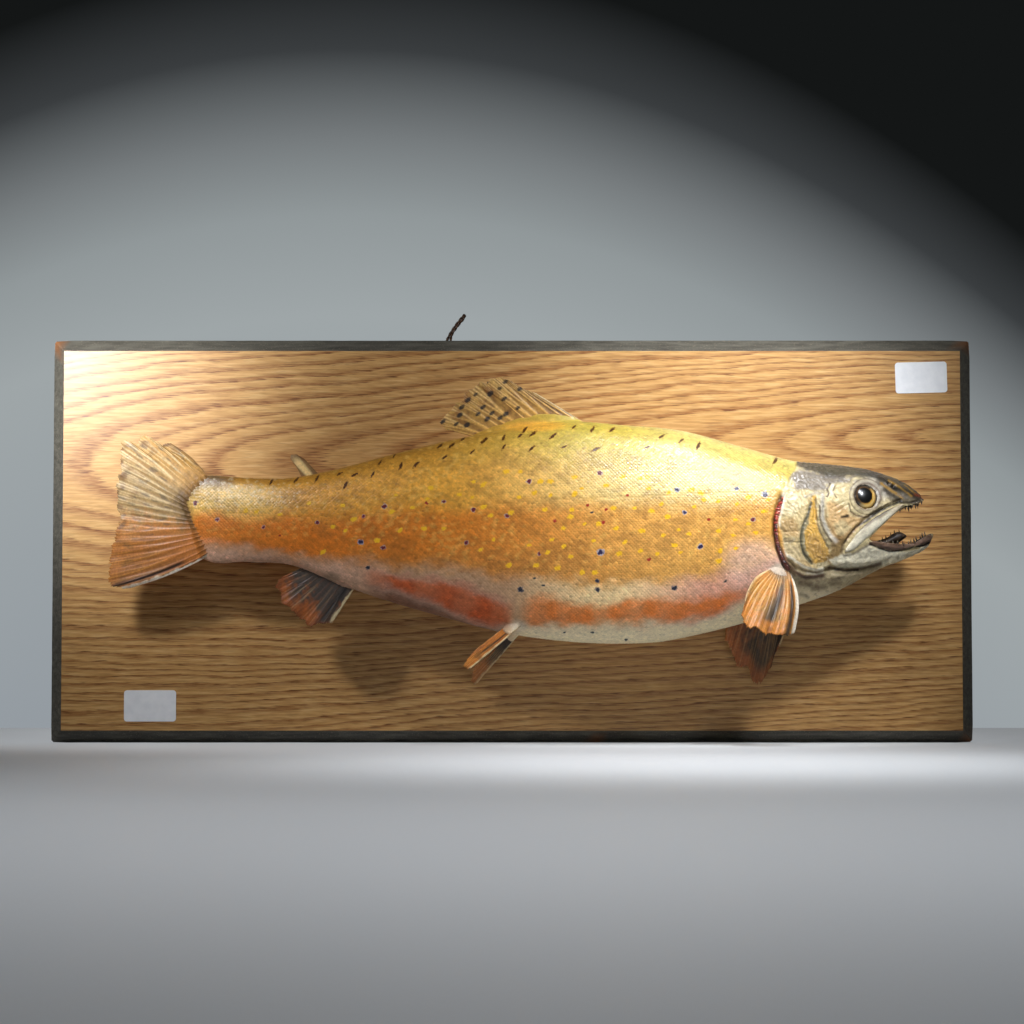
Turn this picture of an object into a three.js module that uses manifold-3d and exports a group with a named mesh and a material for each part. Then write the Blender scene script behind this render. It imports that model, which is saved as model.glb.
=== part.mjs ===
// A brook trout skin mount on its oak board, made to hang on a wall.
// Millimetres. X runs along the fish to its snout, +Y points into the wall, Z is up.
// The origin is on the board's back face, midway along it and 147 mm above its bottom edge.

import * as THREE from 'three';
import { mergeVertices } from 'three/addons/utils/BufferGeometryUtils.js';
import Module from 'manifold-3d';

const wasm = await Module();
wasm.setup();

// ---- driving dimensions ----

const gap = 0.4;              // clearance between neighbouring pieces
const boardWidth = 677;
const boardTop = 149.5;
const boardBottom = -147;
const boardThickness = 18;
const edgeDepth = 7;          // straight part of the board's edge, before the bevel starts
const bevel = 9;              // width of the slope round the board's face

const bodyRoundness = 2.2;    // 2 is an ellipse, more is boxier
const coverThickness = 2;     // gill cover plate
const mouthWall = 4.5;        // cheek and lip thickness round the mouth's hollow
const toothHeight = 2.8;
const toothRadius = 0.75;
const toothInset = 2.6;       // from the lip's outside to the row of teeth
const lowerTeeth = { firstX: 262, spacing: 4.1, count: 9, rim: -4.2, level: 6, rise: 2.2 };
const upperTeeth = { firstX: 281.5, spacing: 3.2, count: 4, rim: 23.4, level: 1, rise: 0.8 };

const eyeAt = [250.2, 29];
const eyeRadius = 8.8;
const eyeHalfDepth = 4.6;
const eyeStandsOut = 2.2;     // cornea beyond the cheek

const neckX = 200;            // head meets trunk, under the gill covers
const stemX = -150;           // trunk meets tail stem

// The body's outline as [x, value].
const backLine = [[-238, 31], [-231, 39], [-222, 45.8], [-188, 44.4], [-160, 44.2], [-130, 49.4],
  [-80, 62.3], [-37, 72.4], [13, 81.7], [42, 84.5], [77, 82], [120, 78], [163, 66.6], [203, 55.8],
  [235, 52.6], [256, 49], [278, 41.5], [288, 34.5], [294, 28.5], [298, 18], [300.5, 4]];
const bellyLine = [[-238, 25], [-231, 10], [-222, -13.8], [-190, -16.6], [-160, -18.6],
  [-134, -27.9], [-101, -40.8], [-51, -55.7], [-5, -67.6], [48, -74.3], [98, -74.6], [127, -70],
  [164, -60.8], [203, -47.9], [234, -36.5], [263, -21.5], [284, -13.3], [297, -5.7], [300.5, 1]];
const halfWidth = [[-238, 1.8], [-231, 3.6], [-222, 6], [-185, 12], [-150, 17], [-100, 24],
  [-50, 31], [0, 36], [60, 39], [120, 38.5], [170, 36.5], [205, 34.5], [235, 30], [260, 22.5],
  [280, 15], [292, 10], [298, 6], [300.5, 2.5]];
const middleY = [[-294, -52], [-238, -57], [-150, -65], [-60, -68], [200, -68], [300, -70]];

// Cuts through the head, as [x, z].
const mouthWedge = [[251, -2], [259.5, 6.4], [270.2, 16.3], [278.7, 22.7], [285.8, 23.5],
  [292, 25.8], [310, 34], [310, 4], [299, 3.9], [292, 0.4], [286, -3.6], [276, -4.2], [262, -3.2]];
const upperJawbone = [[275.2, 25.5], [261, 18.8], [248.2, 10.6], [241, 4.2], [234.2, -5],
  [233.6, -9.6], [237, -11], [245.2, -5.7], [252.3, 0], [259.5, 6.4], [270.2, 16.3], [278.7, 22.7]];
const jawBelow = [[238, -10.6], [229, -20.4], [247, -20.4], [262, -18.3], [279, -14.8],
  [310, -14.8], [310, 14], [257, 5], [246, -2]];
const throatBelow = [[190, -24.5], [222, -24.2], [229, -20.4], [247, -20.4], [262, -18.3],
  [279, -14.8], [300, -14.8], [300, -80], [190, -80]];
const gillCover = [[192, 31.5], [189.5, 22.5], [186.6, 12], [186.3, 2], [188, -6], [191.5, -15],
  [196.4, -24], [200, -27], [212.6, -27.9], [220, -24.5], [223.5, -12], [220.5, 2], [217.6, 15],
  [220, 28], [212, 32], [202, 33.5]];
const gillSlit = [[196, 29], [188.4, 29], [183.4, 18], [182.6, 6], [183.8, -8], [187.5, -18],
  [193, -25], [200, -24], [194, 4]];
const mouthHollow = { floor: [[224, -10], [252, -10], [276, -9], [290, -5.2], [300, -2]],
  roof: [[224, -4], [240, 8], [262, 21.5], [276, 27.4], [286, 28.4], [293, 29.5], [300, 30]] };

// Fins: where the rays start, where they end and how the blade curves, as [x, y, z].
const dorsalRoot = [[52, -68, 83.5], [12, -68, 78], [-25, -68, 72]];
const dorsalTips = [[15, -68, 105.5], [6, -68, 109], [-3, -68, 115], [-11, -67, 118.4],
  [-18, -67, 118.4], [-21.5, -67, 109], [-24, -67, 115], [-30, -66, 109.4], [-36, -66, 106.4],
  [-35.5, -66, 100.4], [-43, -66, 100], [-45, -66, 95], [-54, -65, 84.5], [-50, -66, 80],
  [-44, -67, 78.6]];
const adiposeRoot = [[-139, -66, 47], [-150, -66, 43]];
const adiposeTips = [[-149, -65.5, 57.6], [-154.5, -65, 60.8], [-158.5, -65, 60.4],
  [-159, -65, 57.6], [-154.6, -65.4, 52]];
const analRoot = [[-111, -66.5, -33], [-130, -66, -24], [-148, -65, -19]];
const analTips = [[-129.4, -66, -61.4], [-134, -66, -61.8], [-146, -65, -63.8], [-149.5, -65, -60],
  [-157, -65, -53], [-166.5, -64, -46.4], [-167, -64, -38.2], [-170, -64, -34.6],
  [-168, -64, -29.4], [-160, -64, -26]];
const caudalRoot = [[-219, -58.5, 46], [-231, -57.5, 37], [-236, -57.2, 28], [-232, -57.4, 14],
  [-220, -58.5, -13]];
const caudalTips = [[-248, -56, 71.4], [-254, -55.6, 68.4], [-268.6, -54, 78.8],
  [-272, -54, 71], [-280, -53, 73.8], [-286, -52.6, 67.6], [-284, -52.6, 50.4],
  [-288, -52.2, 40], [-285, -52.4, 15], [-290, -52, -4], [-294, -52, -23],
  [-291, -52, -34], [-280, -53, -36.4]];
const pelvicNearRoot = [[9, -84, -60], [-1, -81, -60]];
const pelvicNearTips = [[-32.4, -113, -95], [-35, -104, -91.6], [-33, -96, -87], [-24, -88, -78]];
const pelvicFarRoot = [[10, -53, -62], [1, -56, -64]];
const pelvicFarTips = [[-27.6, -29, -105.8], [-31, -35, -103], [-29.6, -44, -95], [-19, -52, -86]];
const pectoralNearRoot = [[195.5, -97, -24], [183, -99, -22]];
const pectoralNearTips = [[196.8, -112, -70], [190, -117, -71.2], [175, -121, -70.8],
  [170, -122, -68], [162, -123, -65], [158.6, -123, -56], [160.6, -121, -45]];
const pectoralFarRoot = [[196, -40, -28], [184, -38, -24]];
const pectoralFarTips = [[195, -34, -78], [189, -30, -90], [184, -28, -101], [178, -27, -108],
  [174, -27, -106], [170.6, -27, -94], [163, -27, -92], [157, -28, -83], [152.6, -30, -69]];

// The tongue's width and its upper and lower lines, as [x, value], and its own teeth.
const tongueWidth = [[232, 4], [240, 6], [250, 7], [260, 7], [268, 6.4], [275, 5.4], [279.5, 4],
  [281.5, 1.5]];
const tongueTop = [[232, -5], [255, -2.5], [272, 3.6], [277, 5.2], [281.5, 2.6]];
const tongueLow = [[232, -8], [255, -7.5], [272, -5], [281.5, 1]];
const tongueTeeth = { firstX: 266, spacing: 3.4, count: 4, fromMiddle: 1.6, firstZ: 0.5, rise: 0.9 };

const blockLow = [10, -42, -32];
const blockHigh = [110, -18, 34];
const screwX = [30, 90];
const screwHole = [[0, -40], [2.8, -40], [2.8, -4.2], [5.5, -1], [5.5, 1], [0, 1]];
const screwThread = [[0, -28.5], [2.4, -28.5], [2.4, -10], [0, -10]];
const screwProfile = [[0, -27.5], [2, -24], [2, -4], [4.4, -1.6], [4.4, -1], [0, -1]];

// The hanging loop is a stiff cord, held by one screw in a shallow pocket behind the board's top.
const cordRadius = 1.15;
const loopPoints = [[-43.6, -3.4, 121.5], [-50.6, -3.4, 122.4], [-51.4, -3.4, 130],
  [-49.6, -3.2, 143], [-47.8, -2.6, 151], [-43, -2.2, 159.5], [-38, -2.8, 166],
  [-35.2, -6, 168.6], [-35.4, -10, 166], [-40, -11.6, 160], [-44, -9.2, 154.6],
  [-45.4, -4.6, 150.8], [-45, -3.5, 145], [-42, -3.4, 131], [-41.6, -3.4, 125]];
const pocketLow = [-58, -6.6, 119];
const pocketHigh = [-35, 1, 151];
const loopScrewAt = [-46.5, 0, 126];
const loopScrewHole = [[0, -15], [1.8, -15], [1.8, 1], [0, 1]];
const loopScrewProfile = [[0, -14], [1.3, -12], [1.3, -1.8], [4, -1.8], [3.4, -0.9], [0, -0.5]];

const labelSize = [38, 22.8];
const labelLowerAt = [-264.5, -120, 0];
const labelUpperAt = [300.8, 120.9, 1.4];   // turned by this many degrees
const labelThickness = 0.5;

// ---- curves and surfaces of the body ----

// A smooth curve through a few [x, value] points.
function through(points) {
  return (x) => {
    let i = 0;
    while (i < points.length - 2 && x > points[i + 1][0]) i += 1;
    const before = points[Math.max(i - 1, 0)];
    const [x0, v0] = points[i];
    const [x1, v1] = points[i + 1];
    const after = points[Math.min(i + 2, points.length - 1)];
    const span = x1 - x0;
    const t = THREE.MathUtils.clamp((x - x0) / span, 0, 1);
    const slope0 = ((v1 - before[1]) / (x1 - before[0])) * span;
    const slope1 = ((after[1] - v0) / (after[0] - x0)) * span;
    const s = t * t;
    const c = s * t;
    return (2 * c - 3 * s + 1) * v0 + (c - 2 * s + t) * slope0
      + (3 * s - 2 * c) * v1 + (c - s) * slope1;
  };
}

const back = through(backLine);
const belly = through(bellyLine);
const wide = through(halfWidth);
const middle = through(middleY);

// One upright ring of the body at x, larger by grow all round.
function bodyRing(x, grow, count) {
  const half = (back(x) - belly(x)) / 2 + grow;
  const centre = (back(x) + belly(x)) / 2;
  const side = Math.max(wide(x) + grow, 0.5);
  return superRing(x, middle(x), centre, side, half, bodyRoundness, count);
}

function superRing(x, y, z, side, half, roundness, count) {
  const ring = [];
  for (let i = 0; i < count; i += 1) {
    const a = (i / count) * Math.PI * 2;
    const across = Math.sign(Math.cos(a)) * Math.abs(Math.cos(a)) ** (2 / roundness);
    const up = Math.sign(Math.sin(a)) * Math.abs(Math.sin(a)) ** (2 / roundness);
    ring.push([x, y + side * across, z + half * up]);
  }
  return ring;
}

// How far the flank stands from the middle plane at a given place.
function flank(x, z) {
  const half = (back(x) - belly(x)) / 2;
  const t = Math.abs((z - (back(x) + belly(x)) / 2) / half);
  return wide(x) * (1 - Math.min(t, 1) ** bodyRoundness) ** (1 / bodyRoundness);
}

// ---- solids ----

const yAxis = new THREE.Vector3(0, 1, 0);
const nearLimit = -130;       // a plane in front of the whole fish

function solidFrom(geometry) {
  geometry.deleteAttribute('normal');
  geometry.deleteAttribute('uv');
  const merged = mergeVertices(geometry, 1e-4);
  const triVerts = new Uint32Array(merged.index.array);
  const vertProperties = merged.attributes.position.array;
  const made = new wasm.Manifold(new wasm.Mesh({ numProp: 3, vertProperties, triVerts }));
  if (made.volume() > 0) return made;
  for (let i = 0; i < triVerts.length; i += 3) {
    [triVerts[i], triVerts[i + 1]] = [triVerts[i + 1], triVerts[i]];
  }
  return new wasm.Manifold(new wasm.Mesh({ numProp: 3, vertProperties, triVerts }));
}

// A closed skin over a row of rings that have the same number of points.
function solidFromRings(rings) {
  const corners = [];
  const add = (...points) => points.forEach((point) => corners.push(...point));
  const count = rings[0].length;
  for (let r = 0; r + 1 < rings.length; r += 1) {
    for (let i = 0; i < count; i += 1) {
      const j = (i + 1) % count;
      add(rings[r][i], rings[r][j], rings[r + 1][j]);
      add(rings[r][i], rings[r + 1][j], rings[r + 1][i]);
    }
  }
  for (const [ring, turned] of [[rings[0], true], [rings[rings.length - 1], false]]) {
    const centre = [0, 1, 2].map((k) => ring.reduce((sum, p) => sum + p[k], 0) / count);
    for (let i = 0; i < count; i += 1) {
      const j = (i + 1) % count;
      if (turned) add(centre, ring[j], ring[i]);
      else add(centre, ring[i], ring[j]);
    }
  }
  const geometry = new THREE.BufferGeometry();
  geometry.setAttribute('position', new THREE.Float32BufferAttribute(corners, 3));
  return solidFrom(geometry);
}

function bodyBetween(stations, grow, count) {
  const last = stations.length - 1;
  return solidFromRings(stations.map((x, i) => {
    const shift = (i === last ? grow : 0) - (i === 0 ? grow : 0);
    return bodyRing(x, grow, count).map(([px, y, z]) => [px + shift, y, z]);
  }));
}

// An upright outline in X and Z, carried along Y, through the whole fish unless told otherwise.
function prism(outline, yFrom = nearLimit, yTo = 0) {
  const shape = new THREE.Shape(outline.map(([x, z]) => new THREE.Vector2(x, z)));
  const geometry = new THREE.ExtrudeGeometry(shape, { depth: yTo - yFrom, bevelEnabled: false });
  geometry.rotateX(Math.PI / 2).translate(0, yTo, 0);
  return solidFrom(geometry);
}

// The same prism made larger by the clearance.
function clearOf(outline, by = gap + 0.2) {
  const one = prism(outline);
  let all = one;
  for (let k = 0; k < 8; k += 1) {
    const a = (k / 8) * Math.PI * 2;
    all = all.add(one.translate([by * Math.cos(a), 0, by * Math.sin(a)]));
  }
  return all;
}

function box(low, high) {
  const size = high.map((v, k) => v - low[k]);
  const geometry = new THREE.BoxGeometry(...size);
  geometry.translate(...low.map((v, k) => v + size[k] / 2));
  return solidFrom(geometry);
}

function pointOn(line, t) {
  const lengths = [0];
  for (let i = 1; i < line.length; i += 1) {
    const step = Math.hypot(...line[i].map((v, k) => v - line[i - 1][k]));
    lengths.push(lengths[i - 1] + step);
  }
  const want = t * lengths[lengths.length - 1];
  let i = 1;
  while (i < line.length - 1 && lengths[i] < want) i += 1;
  const part = (want - lengths[i - 1]) / (lengths[i] - lengths[i - 1]);
  return line[i].map((v, k) => THREE.MathUtils.lerp(line[i - 1][k], v, part));
}

// A fin: rays run from the root line to the tip line, and the blade thins towards its edge.
function finBlade({ root, tips, bulge = 0, cup = 0, rootThick = 2.4, edgeThick = 0.8, across = 24 }) {
  const along = 4;
  const grid = [];
  for (let i = 0; i <= across; i += 1) {
    const u = i / across;
    const start = new THREE.Vector3(...pointOn(root, u));
    const end = new THREE.Vector3(...pointOn(tips, u));
    const ray = end.clone().sub(start);
    const side = new THREE.Vector3(-ray.z, 0, ray.x).normalize();
    const row = [];
    for (let j = 0; j <= along; j += 1) {
      const v = j / along;
      const point = start.clone().addScaledVector(ray, v);
      const arch = Math.sin(Math.PI * v) * (1 - 2 * u) * bulge;
      point.addScaledVector(side, arch);
      point.y += cup * Math.sin(Math.PI * u) * v;
      row.push(point);
    }
    grid.push(row);
  }
  const faces = [[], []];
  for (let i = 0; i <= across; i += 1) {
    for (let j = 0; j <= along; j += 1) {
      const du = grid[Math.min(i + 1, across)][j].clone().sub(grid[Math.max(i - 1, 0)][j]);
      const dv = grid[i][Math.min(j + 1, along)].clone().sub(grid[i][Math.max(j - 1, 0)]);
      const normal = du.cross(dv).normalize();
      const thick = THREE.MathUtils.lerp(rootThick, edgeThick, j / along) / 2;
      faces[0].push(grid[i][j].clone().addScaledVector(normal, thick).toArray());
      faces[1].push(grid[i][j].clone().addScaledVector(normal, -thick).toArray());
    }
  }
  const corners = [];
  const width = along + 1;
  const quad = (a, b, c, d) => corners.push(...a, ...b, ...c, ...a, ...c, ...d);
  for (let i = 0; i < across; i += 1) {
    for (let j = 0; j < along; j += 1) {
      const [a, b, c, d] = [i * width + j, (i + 1) * width + j, (i + 1) * width + j + 1,
        i * width + j + 1];
      quad(faces[0][a], faces[0][b], faces[0][c], faces[0][d]);
      quad(faces[1][d], faces[1][c], faces[1][b], faces[1][a]);
    }
  }
  const rim = [];
  for (let i = 0; i < across; i += 1) rim.push(i * width);
  for (let j = 0; j < along; j += 1) rim.push(across * width + j);
  for (let i = across; i > 0; i -= 1) rim.push(i * width + along);
  for (let j = along; j > 0; j -= 1) rim.push(j);
  rim.forEach((a, k) => {
    const b = rim[(k + 1) % rim.length];
    quad(faces[0][b], faces[0][a], faces[1][a], faces[1][b]);
  });
  const geometry = new THREE.BufferGeometry();
  geometry.setAttribute('position', new THREE.Float32BufferAttribute(corners, 3));
  return solidFrom(geometry);
}

// A flattened ball whose short axis points out along a direction.
function lens(centre, radius, halfDepth, out) {
  const geometry = new THREE.SphereGeometry(1, 16, 8);
  geometry.scale(radius, halfDepth, radius);
  geometry.applyQuaternion(new THREE.Quaternion().setFromUnitVectors(yAxis, out));
  geometry.translate(...centre);
  return solidFrom(geometry);
}

function cone(base, tip, radius) {
  const from = new THREE.Vector3(...base);
  const to = new THREE.Vector3(...tip);
  const geometry = new THREE.ConeGeometry(radius, from.distanceTo(to), 5);
  const turn = new THREE.Quaternion();
  turn.setFromUnitVectors(yAxis, to.clone().sub(from).normalize());
  geometry.applyQuaternion(turn);
  geometry.translate(...from.add(to).multiplyScalar(0.5).toArray());
  return solidFrom(geometry);
}

// A turned piece from a profile of [radius, y], with its axis along Y.
function turned(profile, at, around = 20) {
  const points = profile.map(([r, y]) => new THREE.Vector2(r, y));
  const geometry = new THREE.LatheGeometry(points, around);
  geometry.translate(...at);
  return solidFrom(geometry);
}

// ---- the fish ----

const stations = {
  head: [196, 204, 213, 222, 231, 240, 249, 257, 264, 271, 277, 283, 288, 292, 295, 297.5, 299.5,
    300.5],
  trunk: [-152, -138, -122, -105, -86, -66, -44, -20, 4, 28, 52, 76, 100, 122, 142, 160, 176, 190,
    202],
  stem: [-238, -235, -231, -227, -222, -210, -196, -180, -165, -148],
  mouth: [224, 232, 240, 250, 260, 270, 278, 286, 293, 300],
  cheek: [187, 194, 201, 208, 215, 222, 229, 236, 243, 250, 257, 264, 271, 278, 286],
};
const allStations = [...stations.stem.slice(0, -1), ...stations.trunk.slice(1, -1),
  ...stations.head.slice(1)];

const wholeClear = bodyBetween(allStations, gap, 28);
const behindNeck = box([180, nearLimit, -100], [neckX + gap / 2, 0, 120]);
const front = bodyBetween(stations.head, 0, 28).subtract(behindNeck);

const hollowRings = stations.mouth.map((x) => {
  const floor = through(mouthHollow.floor)(x);
  const roof = through(mouthHollow.roof)(x);
  const side = Math.max(wide(x) - mouthWall, 2);
  return superRing(x, middle(x), (floor + roof) / 2, side, (roof - floor) / 2, 2.6, 20);
});
const hollow = solidFromRings(hollowRings);

// Each eye faces out at right angles to the cheek.
function eyeLens(side, grow) {
  const [x, z] = eyeAt;
  const slopeX = (flank(x + 1, z) - flank(x - 1, z)) / 2;
  const slopeZ = (flank(x, z + 1) - flank(x, z - 1)) / 2;
  const out = new THREE.Vector3(-slopeX, side, -slopeZ).normalize();
  const centre = new THREE.Vector3(x, middle(x) + side * flank(x, z), z)
    .addScaledVector(out, eyeStandsOut - eyeHalfDepth);
  return lens(centre.toArray(), eyeRadius + grow, eyeHalfDepth + grow, out);
}
const sockets = [-1, 1].map((side) => eyeLens(side, gap));

const jawbonePrism = clearOf(upperJawbone);
let head = front.subtract(prism(mouthWedge)).subtract(hollow).subtract(jawbonePrism)
  .subtract(clearOf(jawBelow)).subtract(clearOf(throatBelow));
sockets.forEach((socket) => { head = head.subtract(socket); });

let lowerJaw = front.intersect(prism(jawBelow)).subtract(prism(mouthWedge))
  .subtract(hollow).subtract(jawbonePrism);
const throat = front.intersect(prism(throatBelow)).subtract(hollow)
  .subtract(clearOf(jawBelow));

// Small pointed teeth along a rim on both sides, leaning back a little.
// The rim is level for the first few and rises from there.
function teeth({ firstX, spacing, count, rim, level, rise }, rooted, reach) {
  const row = [];
  for (const side of [-1, 1]) {
    for (let k = 0; k < count; k += 1) {
      const x = firstX + k * spacing;
      const y = middle(x) + side * (wide(x) - toothInset) * 0.92;
      const z = rim + Math.max(k + 1 - level, 0) * rise;
      row.push(cone([x, y, z + rooted], [x - 0.6, y, z + reach], toothRadius));
    }
  }
  return row;
}
teeth(lowerTeeth, -1.4, toothHeight).forEach((tooth) => { lowerJaw = lowerJaw.add(tooth); });
teeth(upperTeeth, 3, -toothHeight).forEach((tooth) => { head = head.add(tooth); });

// A thin plate that lies over the body inside an outline, on one side.
function plateOver(outline, inner, outer, side) {
  const [yFrom, yTo] = side < 0 ? [nearLimit, middle(neckX)] : [middle(neckX), 0];
  const over = bodyBetween([180, ...stations.cheek, 294], outer, 28);
  const under = bodyBetween([176, ...stations.cheek, 298], inner, 28);
  return over.subtract(under).intersect(prism(outline, yFrom, yTo));
}

const covers = [-1, 1].map((side) => plateOver(gillCover, gap, gap + coverThickness, side));
const coverPrism = clearOf(gillCover);
const gills = [-1, 1].map((side) => plateOver(gillSlit, gap, gap + 1.4, side).subtract(coverPrism));
const jawbones = [-1, 1].map((side) => plateOver(upperJawbone, -2.4, 1, side));

let tongue = solidFromRings(tongueWidth.map(([x, side]) => {
  const top = through(tongueTop)(x);
  const low = through(tongueLow)(x);
  return superRing(x, middle(x), (top + low) / 2, side, (top - low) / 2, 2, 12);
}));
for (let k = 0; k < tongueTeeth.count; k += 1) {
  const x = tongueTeeth.firstX + k * tongueTeeth.spacing;
  const y = middle(x) + (k % 2 ? 1 : -1) * tongueTeeth.fromMiddle;
  const z = tongueTeeth.firstZ + k * tongueTeeth.rise;
  tongue = tongue.add(cone([x, y, z], [x - 0.8, y, z + toothHeight + 1], toothRadius));
}

const frontClear = coverPrism.intersect(bodyBetween([180, 190, 200, 210, 220, 230], 3, 28));
const fins = {
  dorsal_fin: finBlade({ root: dorsalRoot, tips: dorsalTips, rootThick: 2.8, across: 28 }),
  adipose_fin: finBlade({ root: adiposeRoot, tips: adiposeTips, rootThick: 2.6, across: 10 }),
  anal_fin: finBlade({ root: analRoot, tips: analTips, across: 22 }),
  caudal_fin: finBlade({ root: caudalRoot, tips: caudalTips, bulge: -2.2, rootThick: 3,
    across: 30 }),
  pelvic_fin_near: finBlade({ root: pelvicNearRoot, tips: pelvicNearTips, across: 12 }),
  pelvic_fin_far: finBlade({ root: pelvicFarRoot, tips: pelvicFarTips, across: 12 }),
  pectoral_fin_near: finBlade({ root: pectoralNearRoot, tips: pectoralNearTips, bulge: -4,
    cup: -3, across: 16 }),
  pectoral_fin_far: finBlade({ root: pectoralFarRoot, tips: pectoralFarTips, bulge: -4,
    across: 18 }),
};

// ---- board, its fixings, loop and labels ----

const halfW = boardWidth / 2;
const rectangle = (inset, y) => [[-halfW + inset, y, boardBottom + inset],
  [halfW - inset, y, boardBottom + inset], [halfW - inset, y, boardTop - inset],
  [-halfW + inset, y, boardTop - inset]];
let board = solidFromRings([rectangle(0, 0), rectangle(0, -edgeDepth),
  rectangle(bevel, -boardThickness)]);

// A block of wood between board and fish, shaped to the fish, takes two screws from the back.
let block = box(blockLow, blockHigh).translate([0, -gap, 0]).subtract(wholeClear);
const screws = screwX.map((x) => {
  board = board.subtract(turned(screwHole, [x, 0, 0]));
  block = block.subtract(turned(screwThread, [x, 0, 0]));
  return turned(screwProfile, [x, 0, 0], 16);
});

board = board.subtract(box(pocketLow, pocketHigh)).subtract(turned(loopScrewHole, loopScrewAt));
const loopPath = new THREE.CatmullRomCurve3(loopPoints.map((p) => new THREE.Vector3(...p)));
const cordShape = new THREE.Shape();
cordShape.absarc(0, 0, cordRadius, 0, Math.PI * 2, false);
const loop = solidFrom(new THREE.ExtrudeGeometry(cordShape, { steps: 36, curveSegments: 3,
  bevelEnabled: false, extrudePath: loopPath }));
const loopScrew = turned(loopScrewProfile, loopScrewAt, 16);

function label([x, z, degrees]) {
  const [w, h] = labelSize;
  const face = -boardThickness - gap;
  return box([-w / 2, face - labelThickness, -h / 2], [w / 2, face, h / 2])
    .rotate([0, -degrees, 0]).translate([x, 0, z]);
}

// ---- the named pieces ----

const finishes = {
  fish_skin: ['#b98a4a', 0.35, 0],
  fin: ['#8a5a2c', 0.4, 0],
  bone: ['#d8cfae', 0.4, 0],
  gill: ['#a8301f', 0.45, 0],
  mouth: ['#2b2420', 0.45, 0],
  eye_glass: ['#15110c', 0.1, 0],
  oak: ['#a97f50', 0.45, 0],
  steel: ['#8d8f92', 0.35, 1],
  cord: ['#4a3222', 0.7, 0],
  paper: ['#f1f0ea', 0.8, 0],
};

const mountedTrout = new THREE.Group();
mountedTrout.name = 'mounted_trout';

function addPiece(name, finish, solid) {
  const { vertProperties, triVerts } = solid.simplify(finish === 'fin' ? 0.05 : 0.12).getMesh();
  const indexed = new THREE.BufferGeometry();
  indexed.setAttribute('position', new THREE.BufferAttribute(vertProperties, 3));
  indexed.setIndex(new THREE.BufferAttribute(triVerts, 1));
  const geometry = indexed.toNonIndexed();
  geometry.computeVertexNormals();
  const [color, roughness, metalness] = finishes[finish];
  const material = new THREE.MeshStandardMaterial({ color, roughness, metalness });
  material.name = finish;
  const mesh = new THREE.Mesh(geometry, material);
  mesh.name = name;
  mountedTrout.add(mesh);
}

const trunk = bodyBetween(stations.trunk, 0, 28)
  .subtract(box([neckX - gap / 2, nearLimit, -100], [260, 0, 120]))
  .subtract(box([-200, nearLimit, -100], [stemX + gap / 2, 0, 120]));
const stem = bodyBetween(stations.stem, 0, 28)
  .subtract(box([stemX - gap / 2, nearLimit, -100], [-100, 0, 120]));

addPiece('head', 'fish_skin', head);
addPiece('lower_jaw', 'fish_skin', lowerJaw);
addPiece('throat', 'fish_skin', throat);
addPiece('trunk', 'fish_skin', trunk);
addPiece('tail_stem', 'fish_skin', stem);
['near', 'far'].forEach((side, k) => {
  addPiece(`gill_cover_${side}`, 'fish_skin', covers[k]);
  addPiece(`gills_${side}`, 'gill', gills[k]);
  addPiece(`upper_jawbone_${side}`, 'bone', jawbones[k]);
  addPiece(`eye_${side}`, 'eye_glass', eyeLens(k ? 1 : -1, 0));
});
addPiece('tongue', 'mouth', tongue);
Object.entries(fins).forEach(([name, blade]) => {
  addPiece(name, 'fin', blade.subtract(wholeClear).subtract(frontClear));
});
addPiece('board', 'oak', board);
addPiece('mounting_block', 'oak', block);
addPiece('block_screw_left', 'steel', screws[0]);
addPiece('block_screw_right', 'steel', screws[1]);
addPiece('hanging_loop', 'cord', loop);
addPiece('loop_screw', 'steel', loopScrew);
addPiece('label_lower', 'paper', label(labelLowerAt));
addPiece('label_upper', 'paper', label(labelUpperAt));

export default mountedTrout;
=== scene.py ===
# A brook trout skin mount on its oak board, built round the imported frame.
# Places are in millimetres in the frame's axes until a mesh is made: X to the snout, +Y into the wall, Z up.
import math

import bmesh
import bpy
import numpy as np
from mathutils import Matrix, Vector


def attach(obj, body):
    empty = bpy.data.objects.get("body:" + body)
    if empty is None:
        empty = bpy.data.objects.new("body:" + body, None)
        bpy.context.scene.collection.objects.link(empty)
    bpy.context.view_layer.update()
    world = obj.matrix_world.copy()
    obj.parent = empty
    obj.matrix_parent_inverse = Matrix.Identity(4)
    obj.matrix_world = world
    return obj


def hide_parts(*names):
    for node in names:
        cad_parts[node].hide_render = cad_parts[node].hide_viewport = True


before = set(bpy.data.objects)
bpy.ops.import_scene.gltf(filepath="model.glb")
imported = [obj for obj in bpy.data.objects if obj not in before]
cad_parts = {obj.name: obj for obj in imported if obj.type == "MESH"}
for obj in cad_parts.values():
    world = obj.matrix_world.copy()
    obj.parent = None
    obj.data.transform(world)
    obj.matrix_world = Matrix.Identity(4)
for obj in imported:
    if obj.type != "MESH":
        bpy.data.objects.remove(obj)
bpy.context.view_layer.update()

mm = 0.001
near, far = -1, 1      # the flank that faces the room, and the one that faces the board
flankName = {near: "near", far: "far"}


def linear(code):
    # an sRGB hex value as linear light
    parts = [int(code[i:i + 2], 16) / 255 for i in (1, 3, 5)]
    return [c / 12.92 if c <= 0.04045 else ((c + 0.055) / 1.055) ** 2.4 for c in parts]


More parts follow.
